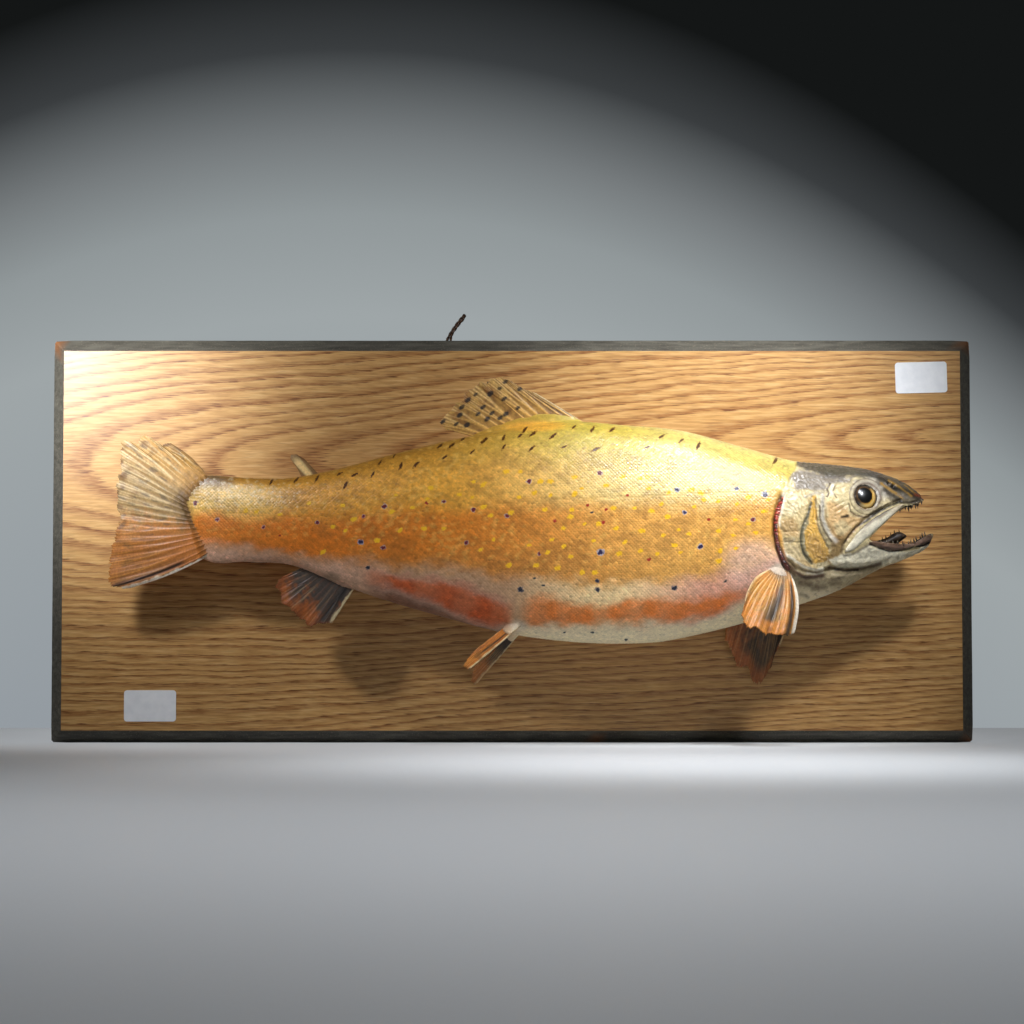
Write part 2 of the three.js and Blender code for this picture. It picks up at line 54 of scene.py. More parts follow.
def through(points):
    # a smooth curve through a few (x, value) pairs, the same curve as in the solids
    px, pv = np.array(points, float).T

    def curve(x):
        x = np.asarray(x, float)
        i = np.clip(np.searchsorted(px, x, side="right") - 1, 0, len(px) - 2)
        before, after = np.maximum(i - 1, 0), np.minimum(i + 2, len(px) - 1)
        span = px[i + 1] - px[i]
        t = np.clip((x - px[i]) / span, 0, 1)
        slope0 = (pv[i + 1] - pv[before]) / (px[i + 1] - px[before]) * span
        slope1 = (pv[after] - pv[i]) / (px[after] - px[i]) * span
        s, c = t * t, t * t * t
        return ((2 * c - 3 * s + 1) * pv[i] + (c - 2 * s + t) * slope0
                + (3 * s - 2 * c) * pv[i + 1] + (c - s) * slope1)
    return curve


def ease(low, high, value):
    t = np.clip((np.asarray(value, float) - low) / (high - low), 0, 1)
    return t * t * (3 - 2 * t)


def blend(a, b, share):
    share = np.asarray(share)[..., None]
    return a * (1 - share) + np.asarray(b) * share


def laid(colour, tone, layers):
    # layers of paint laid over a colour in order: each one's tone, and how strongly it covers
    for key, strength in layers:
        colour = blend(colour, tone[key], np.clip(strength, 0, 1))
    return colour


def mottle(points, size, seed):
    # soft patches of about this size in mm, between about -1 and 1
    own = np.random.default_rng(seed)
    total = np.zeros(len(points))
    for _ in range(14):
        way = own.normal(size=3)
        way *= own.uniform(0.6, 1.5) * 2 * math.pi / (size * 2 * np.linalg.norm(way))
        total += np.sin(points @ way + own.uniform(0, 6.28))
    return total / 3.7


def runAlong(points):
    # how far along a line each of its points is, in mm
    return np.concatenate([[0], np.cumsum(np.linalg.norm(np.diff(points, axis=0), axis=1))])


def unit(ways):
    return ways / np.linalg.norm(ways, axis=-1)[..., None]


def roundAngles(count):
    return np.arange(count) / count * 2 * math.pi


def lineDistance(x, z, line):
    # distance in mm from each (x, z) to a line of a few points
    best = np.full(len(x), 1e9)
    pts = np.array(line, float)
    if len(pts) == 1:
        return np.hypot(x - pts[0, 0], z - pts[0, 1])
    for (ax, az), (bx, bz) in zip(pts[:-1], pts[1:]):
        dx, dz = bx - ax, bz - az
        t = np.clip(((x - ax) * dx + (z - az) * dz) / (dx * dx + dz * dz), 0, 1)
        best = np.minimum(best, np.hypot(x - ax - t * dx, z - az - t * dz))
    return best


def insideOutline(x, z, outline):
    inside = np.zeros(len(x), bool)
    pts = np.array(outline, float)
    for (ax, az), (bx, bz) in zip(pts, np.roll(pts, -1, axis=0)):
        crosses = (az > z) != (bz > z)
        with np.errstate(divide="ignore", invalid="ignore"):
            inside ^= crosses & (x < (bx - ax) * (z - az) / (bz - az) + ax)
    return inside


def meshPiece(name, points, faces, smooth=True):
    # faces is a list of arrays, each of one kind: triangles, quads and so on
    mesh = bpy.data.meshes.new(name)
    points = np.asarray(points, float) * mm
    faces = [np.asarray(group, np.int32) for group in faces if len(group)]
    corners = np.concatenate([group.ravel() for group in faces])
    sizes = np.concatenate([np.full(len(group), group.shape[1]) for group in faces])
    mesh.vertices.add(len(points))
    mesh.vertices.foreach_set("co", points.ravel())
    mesh.loops.add(len(corners))
    mesh.loops.foreach_set("vertex_index", corners)
    mesh.polygons.add(len(sizes))
    mesh.polygons.foreach_set("loop_start", np.concatenate([[0], np.cumsum(sizes)[:-1]]).astype(np.int32))
    mesh.polygons.foreach_set("use_smooth", np.full(len(sizes), smooth))
    mesh.update(calc_edges=True)
    mesh.validate()
    obj = bpy.data.objects.new(name, mesh)
    bpy.context.scene.collection.objects.link(obj)
    return obj


def meshPoints(mesh):
    points = np.empty(len(mesh.vertices) * 3)
    mesh.vertices.foreach_get("co", points)
    return points.reshape(-1, 3) / mm


def setMeshPoints(mesh, points):
    mesh.vertices.foreach_set("co", (points * mm).ravel())
    mesh.update()


def faceCentres(mesh):
    centres = np.empty(len(mesh.polygons) * 3)
    mesh.polygons.foreach_get("center", centres)
    return centres.reshape(-1, 3) / mm


def setAttribute(obj, name, kind, domain, values):
    values = np.asarray(values, np.float32)
    if kind == "FLOAT_COLOR":
        values = np.hstack([values, np.ones((len(values), 1), np.float32)])
    field = {"FLOAT": "value", "FLOAT_VECTOR": "vector", "FLOAT_COLOR": "color"}[kind]
    obj.data.attributes.new(name, kind, domain).data.foreach_set(field, values.ravel())


def settle(obj):
    # applies an object's modifiers
    graph = bpy.context.evaluated_depsgraph_get()
    made = bpy.data.meshes.new_from_object(obj.evaluated_get(graph))
    old = obj.data
    obj.modifiers.clear()
    obj.data = made
    bpy.data.meshes.remove(old)


def addForms(name, *forms, smooth=True):
    # closed forms as one piece, turned outwards: each is its points, and then a group of each kind of face
    starts = np.cumsum([0] + [len(form[0]) for form in forms])
    groups = [np.concatenate([group + start for group, start in zip(kind, starts)])
              for kind in zip(*(form[1:] for form in forms))]
    obj = meshPiece(name, np.concatenate([form[0] for form in forms]), groups, smooth)
    bm = bmesh.new()
    bm.from_mesh(obj.data)
    bmesh.ops.recalc_face_normals(bm, faces=bm.faces)
    bm.to_mesh(obj.data)
    bm.free()
    return obj


def combine(obj, others, operation="DIFFERENCE"):
    # cuts other closed pieces out of one, or joins them to it
    for other in others:
        change = obj.modifiers.new("change", "BOOLEAN")
        change.object, change.operation, change.solver = other, operation, "EXACT"
        change.use_self = operation == "UNION"
    settle(obj)
    for other in others:
        bpy.data.objects.remove(other)


def gridFaces(rows, columns, closed=False):
    # quads over a grid of points in rows, closed round if each row is a ring
    i = np.arange(rows - 1)[:, None]
    j = np.arange(columns if closed else columns - 1)[None, :]
    k = (j + 1) % columns
    quads = np.stack([i * columns + j, i * columns + k, (i + 1) * columns + k, (i + 1) * columns + j], -1)
    return quads.reshape(-1, 4)


def loft(rings):
    # a closed skin over rings of points, with a fan at each end
    rings = np.asarray(rings, float)
    rows, columns = rings.shape[:2]
    points = np.concatenate([rings.reshape(-1, 3), [rings[0].mean(0)], [rings[-1].mean(0)]])
    j = np.arange(columns)
    k = (j + 1) % columns
    first, last = rows * columns, rows * columns + 1
    fans = np.concatenate([np.stack([np.full(columns, first), k, j], -1),
                           np.stack([np.full(columns, last), j + (rows - 1) * columns,
                                     k + (rows - 1) * columns], -1)])
    return points, gridFaces(rows, columns, closed=True), fans


def tube(path, radius, around=10):
    # a closed round tube along a path, with a radius at each point
    path = np.asarray(path, float)
    radius = np.broadcast_to(radius, len(path))
    way = unit(np.gradient(path, axis=0))
    side = unit(np.cross(way, [0.31, 0.11, 0.94]))
    over = np.cross(way, side)
    a = roundAngles(around)
    ring = np.cos(a)[None, :, None] * side[:, None] + np.sin(a)[None, :, None] * over[:, None]
    return loft(path[:, None] + ring * radius[:, None, None])


def smoothPath(points, count):
    pts = np.array(points, float)
    steps = runAlong(pts)
    t = np.linspace(0, steps[-1], count)
    return np.stack([through(list(zip(steps, pts[:, k])))(t) for k in range(3)], -1)


def addPiece(obj, replaced=(), material=None):
    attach(obj, "root")
    if replaced:
        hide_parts(*replaced)
    if material is not None:
        obj.data.materials.clear()
        obj.data.materials.append(material)
    return obj


def plug(tree, node, inputs):
    # a node's first output or a socket is linked to an input; a hex colour or any other value is set on it
    for key, value in inputs.items():
        if isinstance(value, bpy.types.Node):
            value = value.outputs[0]
        if isinstance(value, bpy.types.NodeSocket):
            tree.links.new(value, node.inputs[key])
        else:
            node.inputs[key].default_value = (*linear(value), 1) if isinstance(value, str) else value


def addNode(tree, kind, inputs=(), stops=(), **settings):
    made = tree.nodes.new("ShaderNode" + kind)
    for key, value in settings.items():
        setattr(made, key, value)
    for i, (spot, colour) in enumerate(stops):   # a colour ramp's stops are a place and a hex or grey each
        points = made.color_ramp.elements
        point = points[i] if i < 2 else points.new(spot)
        point.position = spot
        point.color = (*linear(colour), 1) if isinstance(colour, str) else (colour, colour, colour, 1)
    plug(tree, made, dict(inputs))
    return made


def newMaterial(name, **sockets):
    # a Principled material and the object's own coordinates; what is the same all over is set on the shader
    material = bpy.data.materials.new(name)
    material.use_nodes = True
    tree = material.node_tree
    shader = tree.nodes["Principled BSDF"]
    plug(tree, shader, {key.replace("_", " "): value for key, value in sockets.items()})
    return material, tree, shader, addNode(tree, "TexCoord").outputs["Object"]


def perMetre(size):
    # a pattern's scale from the real size of its patches in mm: one number, or one along each axis
    return 1 / (np.array(size) * mm)


def mottledMaterial(name, stops, size, detail, bump=0.0, **sockets):
    # colour that wanders through a few stops in patches of this size in mm, and a bump of this many mm
    material, tree, shader, place = newMaterial(name, **sockets)
    stretched = addNode(tree, "Mapping", {"Vector": place, "Scale": perMetre(size) * np.ones(3)})
    patch = addNode(tree, "TexNoise", {"Vector": stretched, "Scale": 1.0, "Detail": detail})
    plug(tree, shader, {"Base Color": addNode(tree, "ValToRGB", {"Fac": patch}, stops)})
    if bump:
        plug(tree, shader, {"Normal": addNode(tree, "Bump", {"Height": patch, "Distance": bump * mm})})
    return material


fishForm = {
    "backLine": [(-238, 31), (-231, 39), (-222, 45.8), (-188, 44.4), (-160, 44.2), (-130, 49.4), (-80, 62.3),
        (-37, 72.4), (13, 81.7), (42, 84.5), (77, 82), (120, 78), (163, 66.6), (203, 55.8), (235, 52.6),
        (256, 49), (278, 41.5), (288, 34.5), (294, 28.5), (298, 18), (300.5, 4)],
    "bellyLine": [(-238, 25), (-231, 10), (-222, -13.8), (-190, -16.6), (-160, -18.6), (-134, -27.9),
        (-101, -40.8), (-51, -55.7), (-5, -67.6), (48, -74.3), (98, -74.6), (127, -70), (164, -60.8),
        (203, -47.9), (234, -36.5), (263, -21.5), (284, -13.3), (297, -5.7), (300.5, 1)],
    "halfWidth": [(-238, 1.8), (-231, 3.6), (-222, 6), (-185, 12), (-150, 17), (-100, 24), (-50, 31), (0, 36),
        (60, 39), (120, 38.5), (170, 36.5), (205, 34.5), (235, 30), (260, 22.5), (280, 15), (292, 10),
        (298, 6), (300.5, 2.5)],
    "middleY": [(-294, -52), (-238, -57), (-150, -65), (-60, -68), (200, -68), (300, -70)],
    "roundness": 2.2,
    "coatDepth": 0.6,      # the scales stand on a skin this far inside the solids
    "headDepth": 0.15,     # the bare head is nearly at the solids' surface
    "skinStep": 0.85,      # size of the skin mesh's cells
}
back, belly, wide, middle = (through(fishForm[key])
                             for key in ("backLine", "bellyLine", "halfWidth", "middleY"))
power = fishForm["roundness"]


def bodyPoint(x, angle, side, grow=0.0):
    # angle runs from -90 at the belly to 90 at the back, in radians
    half = (back(x) - belly(x)) / 2 + grow
    up = np.sign(np.sin(angle)) * np.abs(np.sin(angle)) ** (2 / power)
    across = np.abs(np.cos(angle)) ** (2 / power)
    width = np.maximum(wide(x) + grow, 0.5)
    return np.stack(np.broadcast_arrays(x, middle(x) + side * width * across,
                                        (back(x) + belly(x)) / 2 + half * up), -1)


def flankDepth(x, z):
    # how far the flank stands from the middle plane at (x, z)
    half = (back(x) - belly(x)) / 2
    t = np.minimum(np.abs((z - (back(x) + belly(x)) / 2) / half), 1)
    return wide(x) * (1 - t ** power) ** (1 / power)


def onFlank(x, z, side, lift=0.0):
    x, z = np.asarray(x, float), np.asarray(z, float)
    return np.stack([x, middle(x) + side * (flankDepth(x, z) + lift), z], -1)


def shellLevel(points):
    # 1 on the body's outer surface, less inside it
    x, y, z = points.T
    half = np.maximum((back(x) - belly(x)) / 2, 0.5)
    return ((np.abs(y - middle(x)) / wide(x)) ** power
            + (np.abs(z - (back(x) + belly(x)) / 2) / half) ** power) ** (1 / power)


# Cuts and outlines on the head, as (x, z).
headForm = {
    "mouthWedge": [(251, -2), (259.5, 6.4), (270.2, 16.3), (278.7, 22.7), (285.8, 23.5), (292, 25.8),
        (310, 34), (310, 4), (299, 3.9), (292, 0.4), (286, -3.6), (276, -4.2), (262, -3.2)],
    "hollowFloor": [(224, -10), (252, -10), (276, -9), (290, -5.2), (300, -2)],
    "hollowRoof": [(224, -4), (240, 8), (262, 21.5), (276, 27.4), (286, 28.4), (293, 29.5), (300, 30)],
    "cheekWall": 4.5,
    "gillCover": [(192, 31.5), (189.5, 22.5), (186.6, 12), (186.3, 2), (188, -6), (191.5, -15), (196.4, -24),
        (200, -27), (212.6, -27.9), (220, -24.5), (223.5, -12), (220.5, 2), (217.6, 15), (220, 28), (212, 32),
        (202, 33.5)],
    "coverRise": 2.3,
    "coverRear": [(193, 33), (192, 31.5), (189.5, 22.5), (186.6, 12), (186.3, 2), (188, -6), (191.5, -15),
        (196.4, -24), (200, -27), (212.6, -27.9)],
    "eyeAt": (250.2, 29),
    "eyeRadius": 8.8,
    "eyeHalfDepth": 4.6,
    "eyeStandsOut": 2.2,
}

# Fins: first and last lines of their rays, as in the solids.
finForms = {
    "dorsal_fin": {
        "root": [(52, -68, 83.5), (12, -68, 78), (-25, -68, 72)],
        "tips": [(15, -68, 105.5), (6, -68, 109), (-3, -68, 115), (-11, -67, 118.4), (-18, -67, 118.4),
            (-21.5, -67, 109), (-24, -67, 115), (-30, -66, 109.4), (-36, -66, 106.4), (-35.5, -66, 100.4),
            (-43, -66, 100), (-45, -66, 95), (-54, -65, 84.5), (-50, -66, 80), (-44, -67, 78.6)],
        "rays": 12, "rootThick": 2.8, "base": (0.24, 5.6, 2.2), "curl": 0.9},
    "anal_fin": {
        "root": [(-111, -66.5, -33), (-130, -66, -24), (-148, -65, -19)],
        "tips": [(-129.4, -66, -61.4), (-134, -66, -61.8), (-146, -65, -63.8), (-149.5, -65, -60),
            (-157, -65, -53), (-166.5, -64, -46.4), (-167, -64, -38.2), (-170, -64, -34.6),
            (-168, -64, -29.4), (-160, -64, -26)],
        "rays": 11, "rootThick": 2.4, "base": (0.14, 3.6, 2.0), "curl": 1.0},
    "caudal_fin": {
        "root": [(-219, -58.5, 46), (-231, -57.5, 37), (-236, -57.2, 28), (-232, -57.4, 14),
            (-220, -58.5, -13)],
        "tips": [(-248, -56, 71.4), (-254, -55.6, 68.4), (-268.6, -54, 78.8), (-272, -54, 71),
            (-280, -53, 73.8), (-286, -52.6, 67.6), (-284, -52.6, 50.4), (-288, -52.2, 40), (-285, -52.4, 15),
            (-290, -52, -4), (-294, -52, -23), (-291, -52, -34), (-280, -53, -36.4)],
        "rays": 20, "rootThick": 3.0, "bulge": -2.2, "base": (0.02, 2.0, 1.0), "curl": 1.2},
    "pelvic_fin_near": {
        "root": [(9, -84, -60), (-1, -81, -60)],
        "tips": [(-32.4, -113, -95), (-35, -104, -91.6), (-33, -96, -87), (-24, -88, -78)],
        "rays": 8, "rootThick": 2.4, "base": (0.25, 6.5, 2.6), "curl": 0.6},
    "pelvic_fin_far": {
        "root": [(10, -53, -62), (1, -56, -64)],
        "tips": [(-27.6, -29, -105.8), (-31, -35, -103), (-29.6, -44, -95), (-19, -52, -86)],
        "rays": 8, "rootThick": 2.4, "base": (0.25, 6.5, 2.6), "curl": 0.6},
    "pectoral_fin_near": {
        "root": [(195.5, -97, -24), (183, -99, -22)],
        "tips": [(196.8, -112, -70), (190, -117, -71.2), (175, -121, -70.8), (170, -122, -68),
            (162, -123, -65), (158.6, -123, -56), (160.6, -121, -45)],
        "rays": 12, "rootThick": 2.4, "bulge": 5, "cup": -3, "base": (0.1, 5.0, 2.2), "curl": 1.2},
    "pectoral_fin_far": {
        "root": [(196, -40, -28), (184, -38, -24)],
        "tips": [(195, -34, -78), (189, -30, -90), (184, -28, -101), (178, -27, -108), (174, -27, -106),
            (170.6, -27, -94), (163, -27, -92), (157, -28, -83), (152.6, -30, -69)],
        "rays": 12, "rootThick": 2.4, "bulge": 6, "base": (0.12, 5.5, 2.4), "curl": 1.0},
}
adiposeForm = {
    "root": [(-139, -66, 47), (-150, -66, 43)],
    "tips": [(-149, -65.5, 57.6), (-154.5, -65, 60.8), (-158.5, -65, 60.4), (-159, -65, 57.6),
        (-154.6, -65.4, 52)],
    "rootThick": 2.8, "edgeThick": 1.4}


def pointsOn(line, t):
    pts = np.array(line, float)
    steps = runAlong(pts)
    return np.stack([np.interp(t * steps[-1], steps, pts[:, k]) for k in range(3)], -1)


def finSheet(form, u, v):
    # the middle sheet of a fin: u across the rays from the leading one, v out along each ray
    start, end = pointsOn(form["root"], u), pointsOn(form["tips"], u)
    ray = end - start
    side = unit(np.stack([-ray[:, 2], np.zeros(len(u)), ray[:, 0]], -1))
    arch = np.sin(np.pi * v)[None, :] * (1 - 2 * u)[:, None] * form.get("bulge", 0)
    sheet = start[:, None] + ray[:, None] * v[None, :, None] + side[:, None] * arch[..., None]
    sheet[..., 1] += form.get("cup", 0) * np.sin(np.pi * u)[:, None] * v[None, :]
    return sheet


def sheetNormals(sheet):
    return unit(np.cross(np.gradient(sheet, axis=0), np.gradient(sheet, axis=1)))


def thickSheet(sheet, thick):
    # both faces of a sheet and its rim, as a closed form
    rows, columns = sheet.shape[:2]
    normal = sheetNormals(sheet)
    front = sheet + normal * thick[..., None] / 2
    rear = sheet - normal * thick[..., None] / 2
    count = rows * columns
    faces = gridFaces(rows, columns)
    index = np.arange(count).reshape(rows, columns)
    rim = np.concatenate([index[:-1, 0], index[-1, :-1], index[:0:-1, -1], index[0, :0:-1]])
    after = np.roll(rim, -1)
    edge = np.stack([rim, after, after + count, rim + count], -1)
    return (np.concatenate([front.reshape(-1, 3), rear.reshape(-1, 3)]),
            np.concatenate([faces[:, ::-1], faces + count, edge]))


def skinGrow(x):
    return -fishForm["coatDepth"] + (fishForm["coatDepth"] - fishForm["headDepth"]) * ease(190, 206, x)


def bodyForm():
    x = np.concatenate([np.arange(-238, -216, 1.0), np.arange(-216, 270, 3.0),
                        np.arange(270, 300.4, 0.9), [300.5]])
    angle = np.linspace(-math.pi / 2, math.pi / 2, 61)[:-1]
    grow = skinGrow(x)[:, None]
    nearHalf = bodyPoint(x[:, None], angle[None, :], near, grow)
    farHalf = bodyPoint(x[:, None], -angle[None, :], far, grow)
    return loft(np.concatenate([nearHalf, farHalf], axis=1)[:, ::-1])


def mouthCutters():
    # the wedge between the jaws, and the hollow behind and between the cheeks
    outline = np.array(headForm["mouthWedge"], float)
    wedge = loft([np.stack([outline[:, 0], np.full(len(outline), y), outline[:, 1]], -1) for y in (-125, -10)])
    x = np.arange(224, 300.1, 2.0)
    floor, roof = through(headForm["hollowFloor"])(x), through(headForm["hollowRoof"])(x)
    side = np.maximum(wide(x) - headForm["cheekWall"], 2)
    a = roundAngles(40)
    cosine, sine = (np.sign(f) * np.abs(f) ** (2 / 2.6) for f in (np.cos(a), np.sin(a)))
    rings = np.stack(np.broadcast_arrays(
        x[:, None], middle(x)[:, None] + side[:, None] * cosine,
        (floor + roof)[:, None] / 2 + (roof - floor)[:, None] / 2 * sine), -1)
    return wedge, loft(rings)


def eyeSeat(side):
    # the eye's centre, and its own axes: forward, out at right angles to the cheek, and up
    x, z = headForm["eyeAt"]
    slopeX = (flankDepth(x + 1, z) - flankDepth(x - 1, z)) / 2
    slopeZ = (flankDepth(x, z + 1) - flankDepth(x, z - 1)) / 2
    out = np.array([-slopeX, side, -slopeZ])
    out /= np.linalg.norm(out)
    forward = np.cross(out, [0, 0, 1]) * side
    forward /= np.linalg.norm(forward)
    up = np.cross(forward, out) * side
    centre = onFlank(x, z, side) + out * (headForm["eyeStandsOut"] - headForm["eyeHalfDepth"])
    return centre, np.array([forward, out, up * np.sign(up[2])])


def eyeLens(side, grow, rows=24, columns=48):
    # a flattened ball with its short axis pointing out of the cheek
    a = np.linspace(0, math.pi, rows + 1)[1:-1]
    b = roundAngles(columns)
    rings = np.stack(np.broadcast_arrays(np.sin(a)[:, None] * np.cos(b), -np.cos(a)[:, None],
                                         np.sin(a)[:, None] * np.sin(b)), -1)
    radius, depth = headForm["eyeRadius"] + grow, headForm["eyeHalfDepth"] + grow
    centre, axes = eyeSeat(side)
    return loft(rings * np.array([radius, depth, radius]) @ axes + centre)


def makeSkin():
    skin = addForms("skin", bodyForm())
    sockets = [eyeLens(side, 0.15) for side in (near, far)]
    combine(skin, [addForms("cutter", form) for form in (*mouthCutters(), *sockets)])
    # fleshy fin bases grow out of the body
    parts = []
    for form in finForms.values():
        reach, rootThick, endThick = form["base"]
        u, v = np.linspace(0, 1, 24), np.linspace(-0.06, reach, 12)
        sheet = finSheet(form, u, v)
        taper = np.sqrt(np.clip(1 - (2 * u - 1) ** 4, 0.02, 1))[:, None]
        thick = (rootThick + (endThick - rootThick) * ease(0, reach, v))[None, :] * taper
        parts.append(thickSheet(sheet, thick))
    combine(skin, [addForms("bases", *parts)], "UNION")
    remesh = skin.modifiers.new("remesh", "REMESH")
    remesh.mode, remesh.voxel_size = "VOXEL", fishForm["skinStep"] * mm
    smooth = skin.modifiers.new("smooth", "SMOOTH")
    smooth.factor, smooth.iterations = 0.5, 4
    settle(skin)
    return skin


def refineHead(skin):
    # halves the cells on the outside of the bare head, where the finest modelling and brushwork are
    bm = bmesh.new()
    bm.from_mesh(skin.data)
    places = np.array([f.calc_center_median() for f in bm.faces]) / mm
    x, y, z = places.T
    bare = (x > borderAt(z) - 2) & (shellLevel(places) > 0.86) & (y < middle(x) + 12)
    bm.faces.ensure_lookup_table()
    edges = {edge for i in np.where(bare)[0] for edge in bm.faces[int(i)].edges}
    bmesh.ops.subdivide_edges(bm, edges=list(edges), cuts=1, use_grid_fill=True)
    bm.to_mesh(skin.data)
    bm.free()


# Sculpted lines of the head: what is raised or pressed in, in mm, along (x, z) lines.
headLines = [
    # (depth, width, line)
    (-0.7, 0.9, [(211, 28), (207, 15), (203, 5), (203, -6), (205, -13), (211, -18)]),  # cover's inner seam
    (-0.35, 0.7, [(187, 3), (202, 4)]),
    (-0.35, 0.7, [(188.5, -3.5), (203, -4)]),
    (0.9, 1.9, [(218, 27), (216.6, 15), (218.4, 7), (222, 0), (227, -4.5)]),  # front ridge of the cover
    (-0.9, 1.5, [(213.6, 24), (212.6, 14), (214.6, 4), (218.4, -3), (223, -8)]),
    (0.6, 1.4, [(195, -13), (202, -18), (210, -21), (217, -22), (224, -19)]),
    (-1.1, 1.2, [(193.5, -16), (199.5, -22), (207, -24.5), (217, -25), (224, -22)]),
    (-2.2, 1.7, [(222, -23), (229, -22), (247, -21.8), (261, -19), (268, -17)]),  # fold under the jaw
    (0.7, 2.0, [(232, -17.5), (247, -18), (261, -15.5), (272, -12.5)]),
    (-0.8, 0.9, [(253, -5), (260, -7.2), (268, -8.8), (279, -9), (288, -7), (297, -3.6)]),  # gum line
    (0.5, 1.2, [(262, -5.4), (270, -6.4), (279, -6.6), (288, -4.6), (296, -0.6)]),
    (-0.9, 1.0, [(275.5, 26.6), (261, 19.8), (248, 11.8), (240.6, 5), (233.6, -4.6), (233, -10)]),
    (0.6, 1.6, [(272, 27.4), (258, 20.6), (246, 13.4), (238, 6)]),
    (-0.4, 0.7, [(226, 21), (236, 26)]),
    (-0.4, 0.7, [(227.6, 17.6), (237, 23)]),
    (-0.45, 0.8, [(239, 18), (245, 14.6), (253, 16.2), (259, 19)]),
    (-0.35, 0.7, [(243, 11.5), (250, 14), (257, 18)]),
    (0.5, 1.2, [(229, 9), (233, 2), (236, -3)]),
    (-0.5, 1.0, [(226, 10), (229, 1), (232, -6)]),
    (0.5, 1.5, [(203, -31), (217, -30), (235, -26)]),
    (-0.5, 1.0, [(204, -35), (219, -33.5), (238, -28.5)]),
    (0.4, 1.4, [(207, -40), (222, -37), (239, -30)]),
    (-0.5, 0.9, [(222, 42), (236, 45.5), (250, 44), (262, 40)]),  # brow
    (0.5, 1.5, [(238, 42), (250, 42.4), (260, 39)]),
    (-0.5, 1.2, [(203, 53), (199, 44), (194.6, 35)]),  # where bare head meets scales
    (-0.4, 0.8, [(262, 31), (268, 26), (273, 25)]),
    (-0.5, 0.7, [(284, 25.4), (289, 27), (293, 29.6)]),
]


def sculptSkin(skin):
    points = meshPoints(skin.data)
    normals = np.empty(len(points) * 3)
    skin.data.vertices.foreach_get("normal", normals)
    normals = normals.reshape(-1, 3)
    x, _, z = points.T
    outer = ease(0.9, 0.96, shellLevel(points)) * ease(180, 184, x)
    on = np.where(outer > 0)[0]
    hx, hz = x[on], z[on]
    lift = np.zeros(len(on))
    # the gill cover: a plate that stands proud at its rear edge and melts into the cheek
    rear = lineDistance(hx, hz, headForm["coverRear"])
    inside = insideOutline(hx, hz, headForm["gillCover"])
    signed = np.where(inside, rear, -rear)
    rise = headForm["coverRise"] * (1 - 0.75 * ease(186, 224, hx))
    plate = ease(-0.7, 0.9, signed) * rise * np.where(inside | (signed > -0.7), 1, 0)
    away = ease(224, 216, hx) * ease(35, 29, hz)
    lift += plate * np.maximum(away, ease(224, 214, hx) * inside)
    slit = np.exp(-((signed + 2.6) / 1.7) ** 2) * (signed < 0) * ease(34, 26, hz) * ease(-32, -20, hz)
    lift -= 1.9 * slit * ease(214, 202, hx)
    for depth, width, line in headLines:
        lift += depth * np.exp(-(lineDistance(hx, hz, line) / width) ** 2)
    # orbit: a soft ring round the eye, and two nostrils with small rims
    ex, ez = headForm["eyeAt"]
    ring = np.hypot(hx - ex, hz - ez)
    lift += 0.4 * np.exp(-((ring - 10.2) / 1.2) ** 2) - 0.25 * np.exp(-((ring - 12.8) / 1.0) ** 2)
    for nx, nz, size in ((271, 37, 1.5), (267.8, 38.6, 1.1)):
        hole = np.hypot(hx - nx, hz - nz)
        lift += 0.45 * np.exp(-((hole - size * 1.7) / 0.8) ** 2) - 1.5 * np.exp(-(hole / size) ** 2)
    # dried skin: fine crinkles over the cover and cheek, folds round the eye, a rough crown
    onHead = ease(-1, 2, hx - borderAt(hz))
    crinkle = np.abs(mottle(points[on], 3.4, 7)) + 0.6 * np.abs(mottle(points[on], 1.7, 8))
    lift += onHead * (0.16 - 0.26 * crinkle) + 0.12 * mottle(points[on], 5, 7)
    fan = np.sin((hx * 0.75 + hz * 0.5) * 1.9 + 2.4 * mottle(points[on], 6, 17))
    lift += 0.14 * fan * onHead * ease(226, 216, hx)
    points[on] += normals[on] * (lift * outer[on])[:, None]
    setMeshPoints(skin.data, points)


paintBox = {
    "backRear": "#cc9030", "backFront": "#bba544", "backTop": "#8a6226", "backPale": "#c9b868",
    "upperRear": "#dc9a3a", "upperMid": "#eaa83c", "upperFront": "#e0c884", "stemGold": "#f6c868",
    "orangeRear": "#da7724", "orangeMid": "#d67b26", "orangeFront": "#d99c48", "brown": "#7a4a1f",
    "lowerFlank": "#bf8440", "pale": "#bd9570", "paleFront": "#f8d69c", "pink": "#dfa487",
    "pinkRear": "#d6a98c", "stripe": "#e07826", "blush": "#f6d2c0", "stripeRear": "#c45620", "plum": "#bd9886",
    "bellyWhite": "#efdcb2", "bellyRear": "#7c4e36", "stemGrey": "#5f5342", "finRoot": "#5d432a",
    "bareGrey": "#7c6f59", "rootPale": "#cdc0aa",
    "crown": "#33302a", "lilac": "#7b7268", "snout": "#5a5040", "ochre": "#b08433",
    "cover": "#d2ba86", "coverPale": "#ddcfa6", "coverTan": "#b28d58", "coverGrey": "#796a52",
    "gold": "#dba94c", "goldLow": "#ba9050", "edge": "#efe6cd", "seam": "#454436", "olive": "#8c8263",
    "crescent": "#b9b4ab", "line": "#38261a", "cheek": "#cba672", "cheekPale": "#d2bf90", "cheekLow": "#86683c",
    "orbit": "#a09684", "lid": "#7b6a5c", "jaw": "#efe5c8", "jawLow": "#cdc2a2", "gum": "#7a5f52",
    "throat": "#bba984", "throatPale": "#eedcb4", "blotch": "#5d432b", "slit": "#3f1a10",
    "mouthDark": "#241a14", "ink": "#14110e", "rust": "#6e2f1c",
}
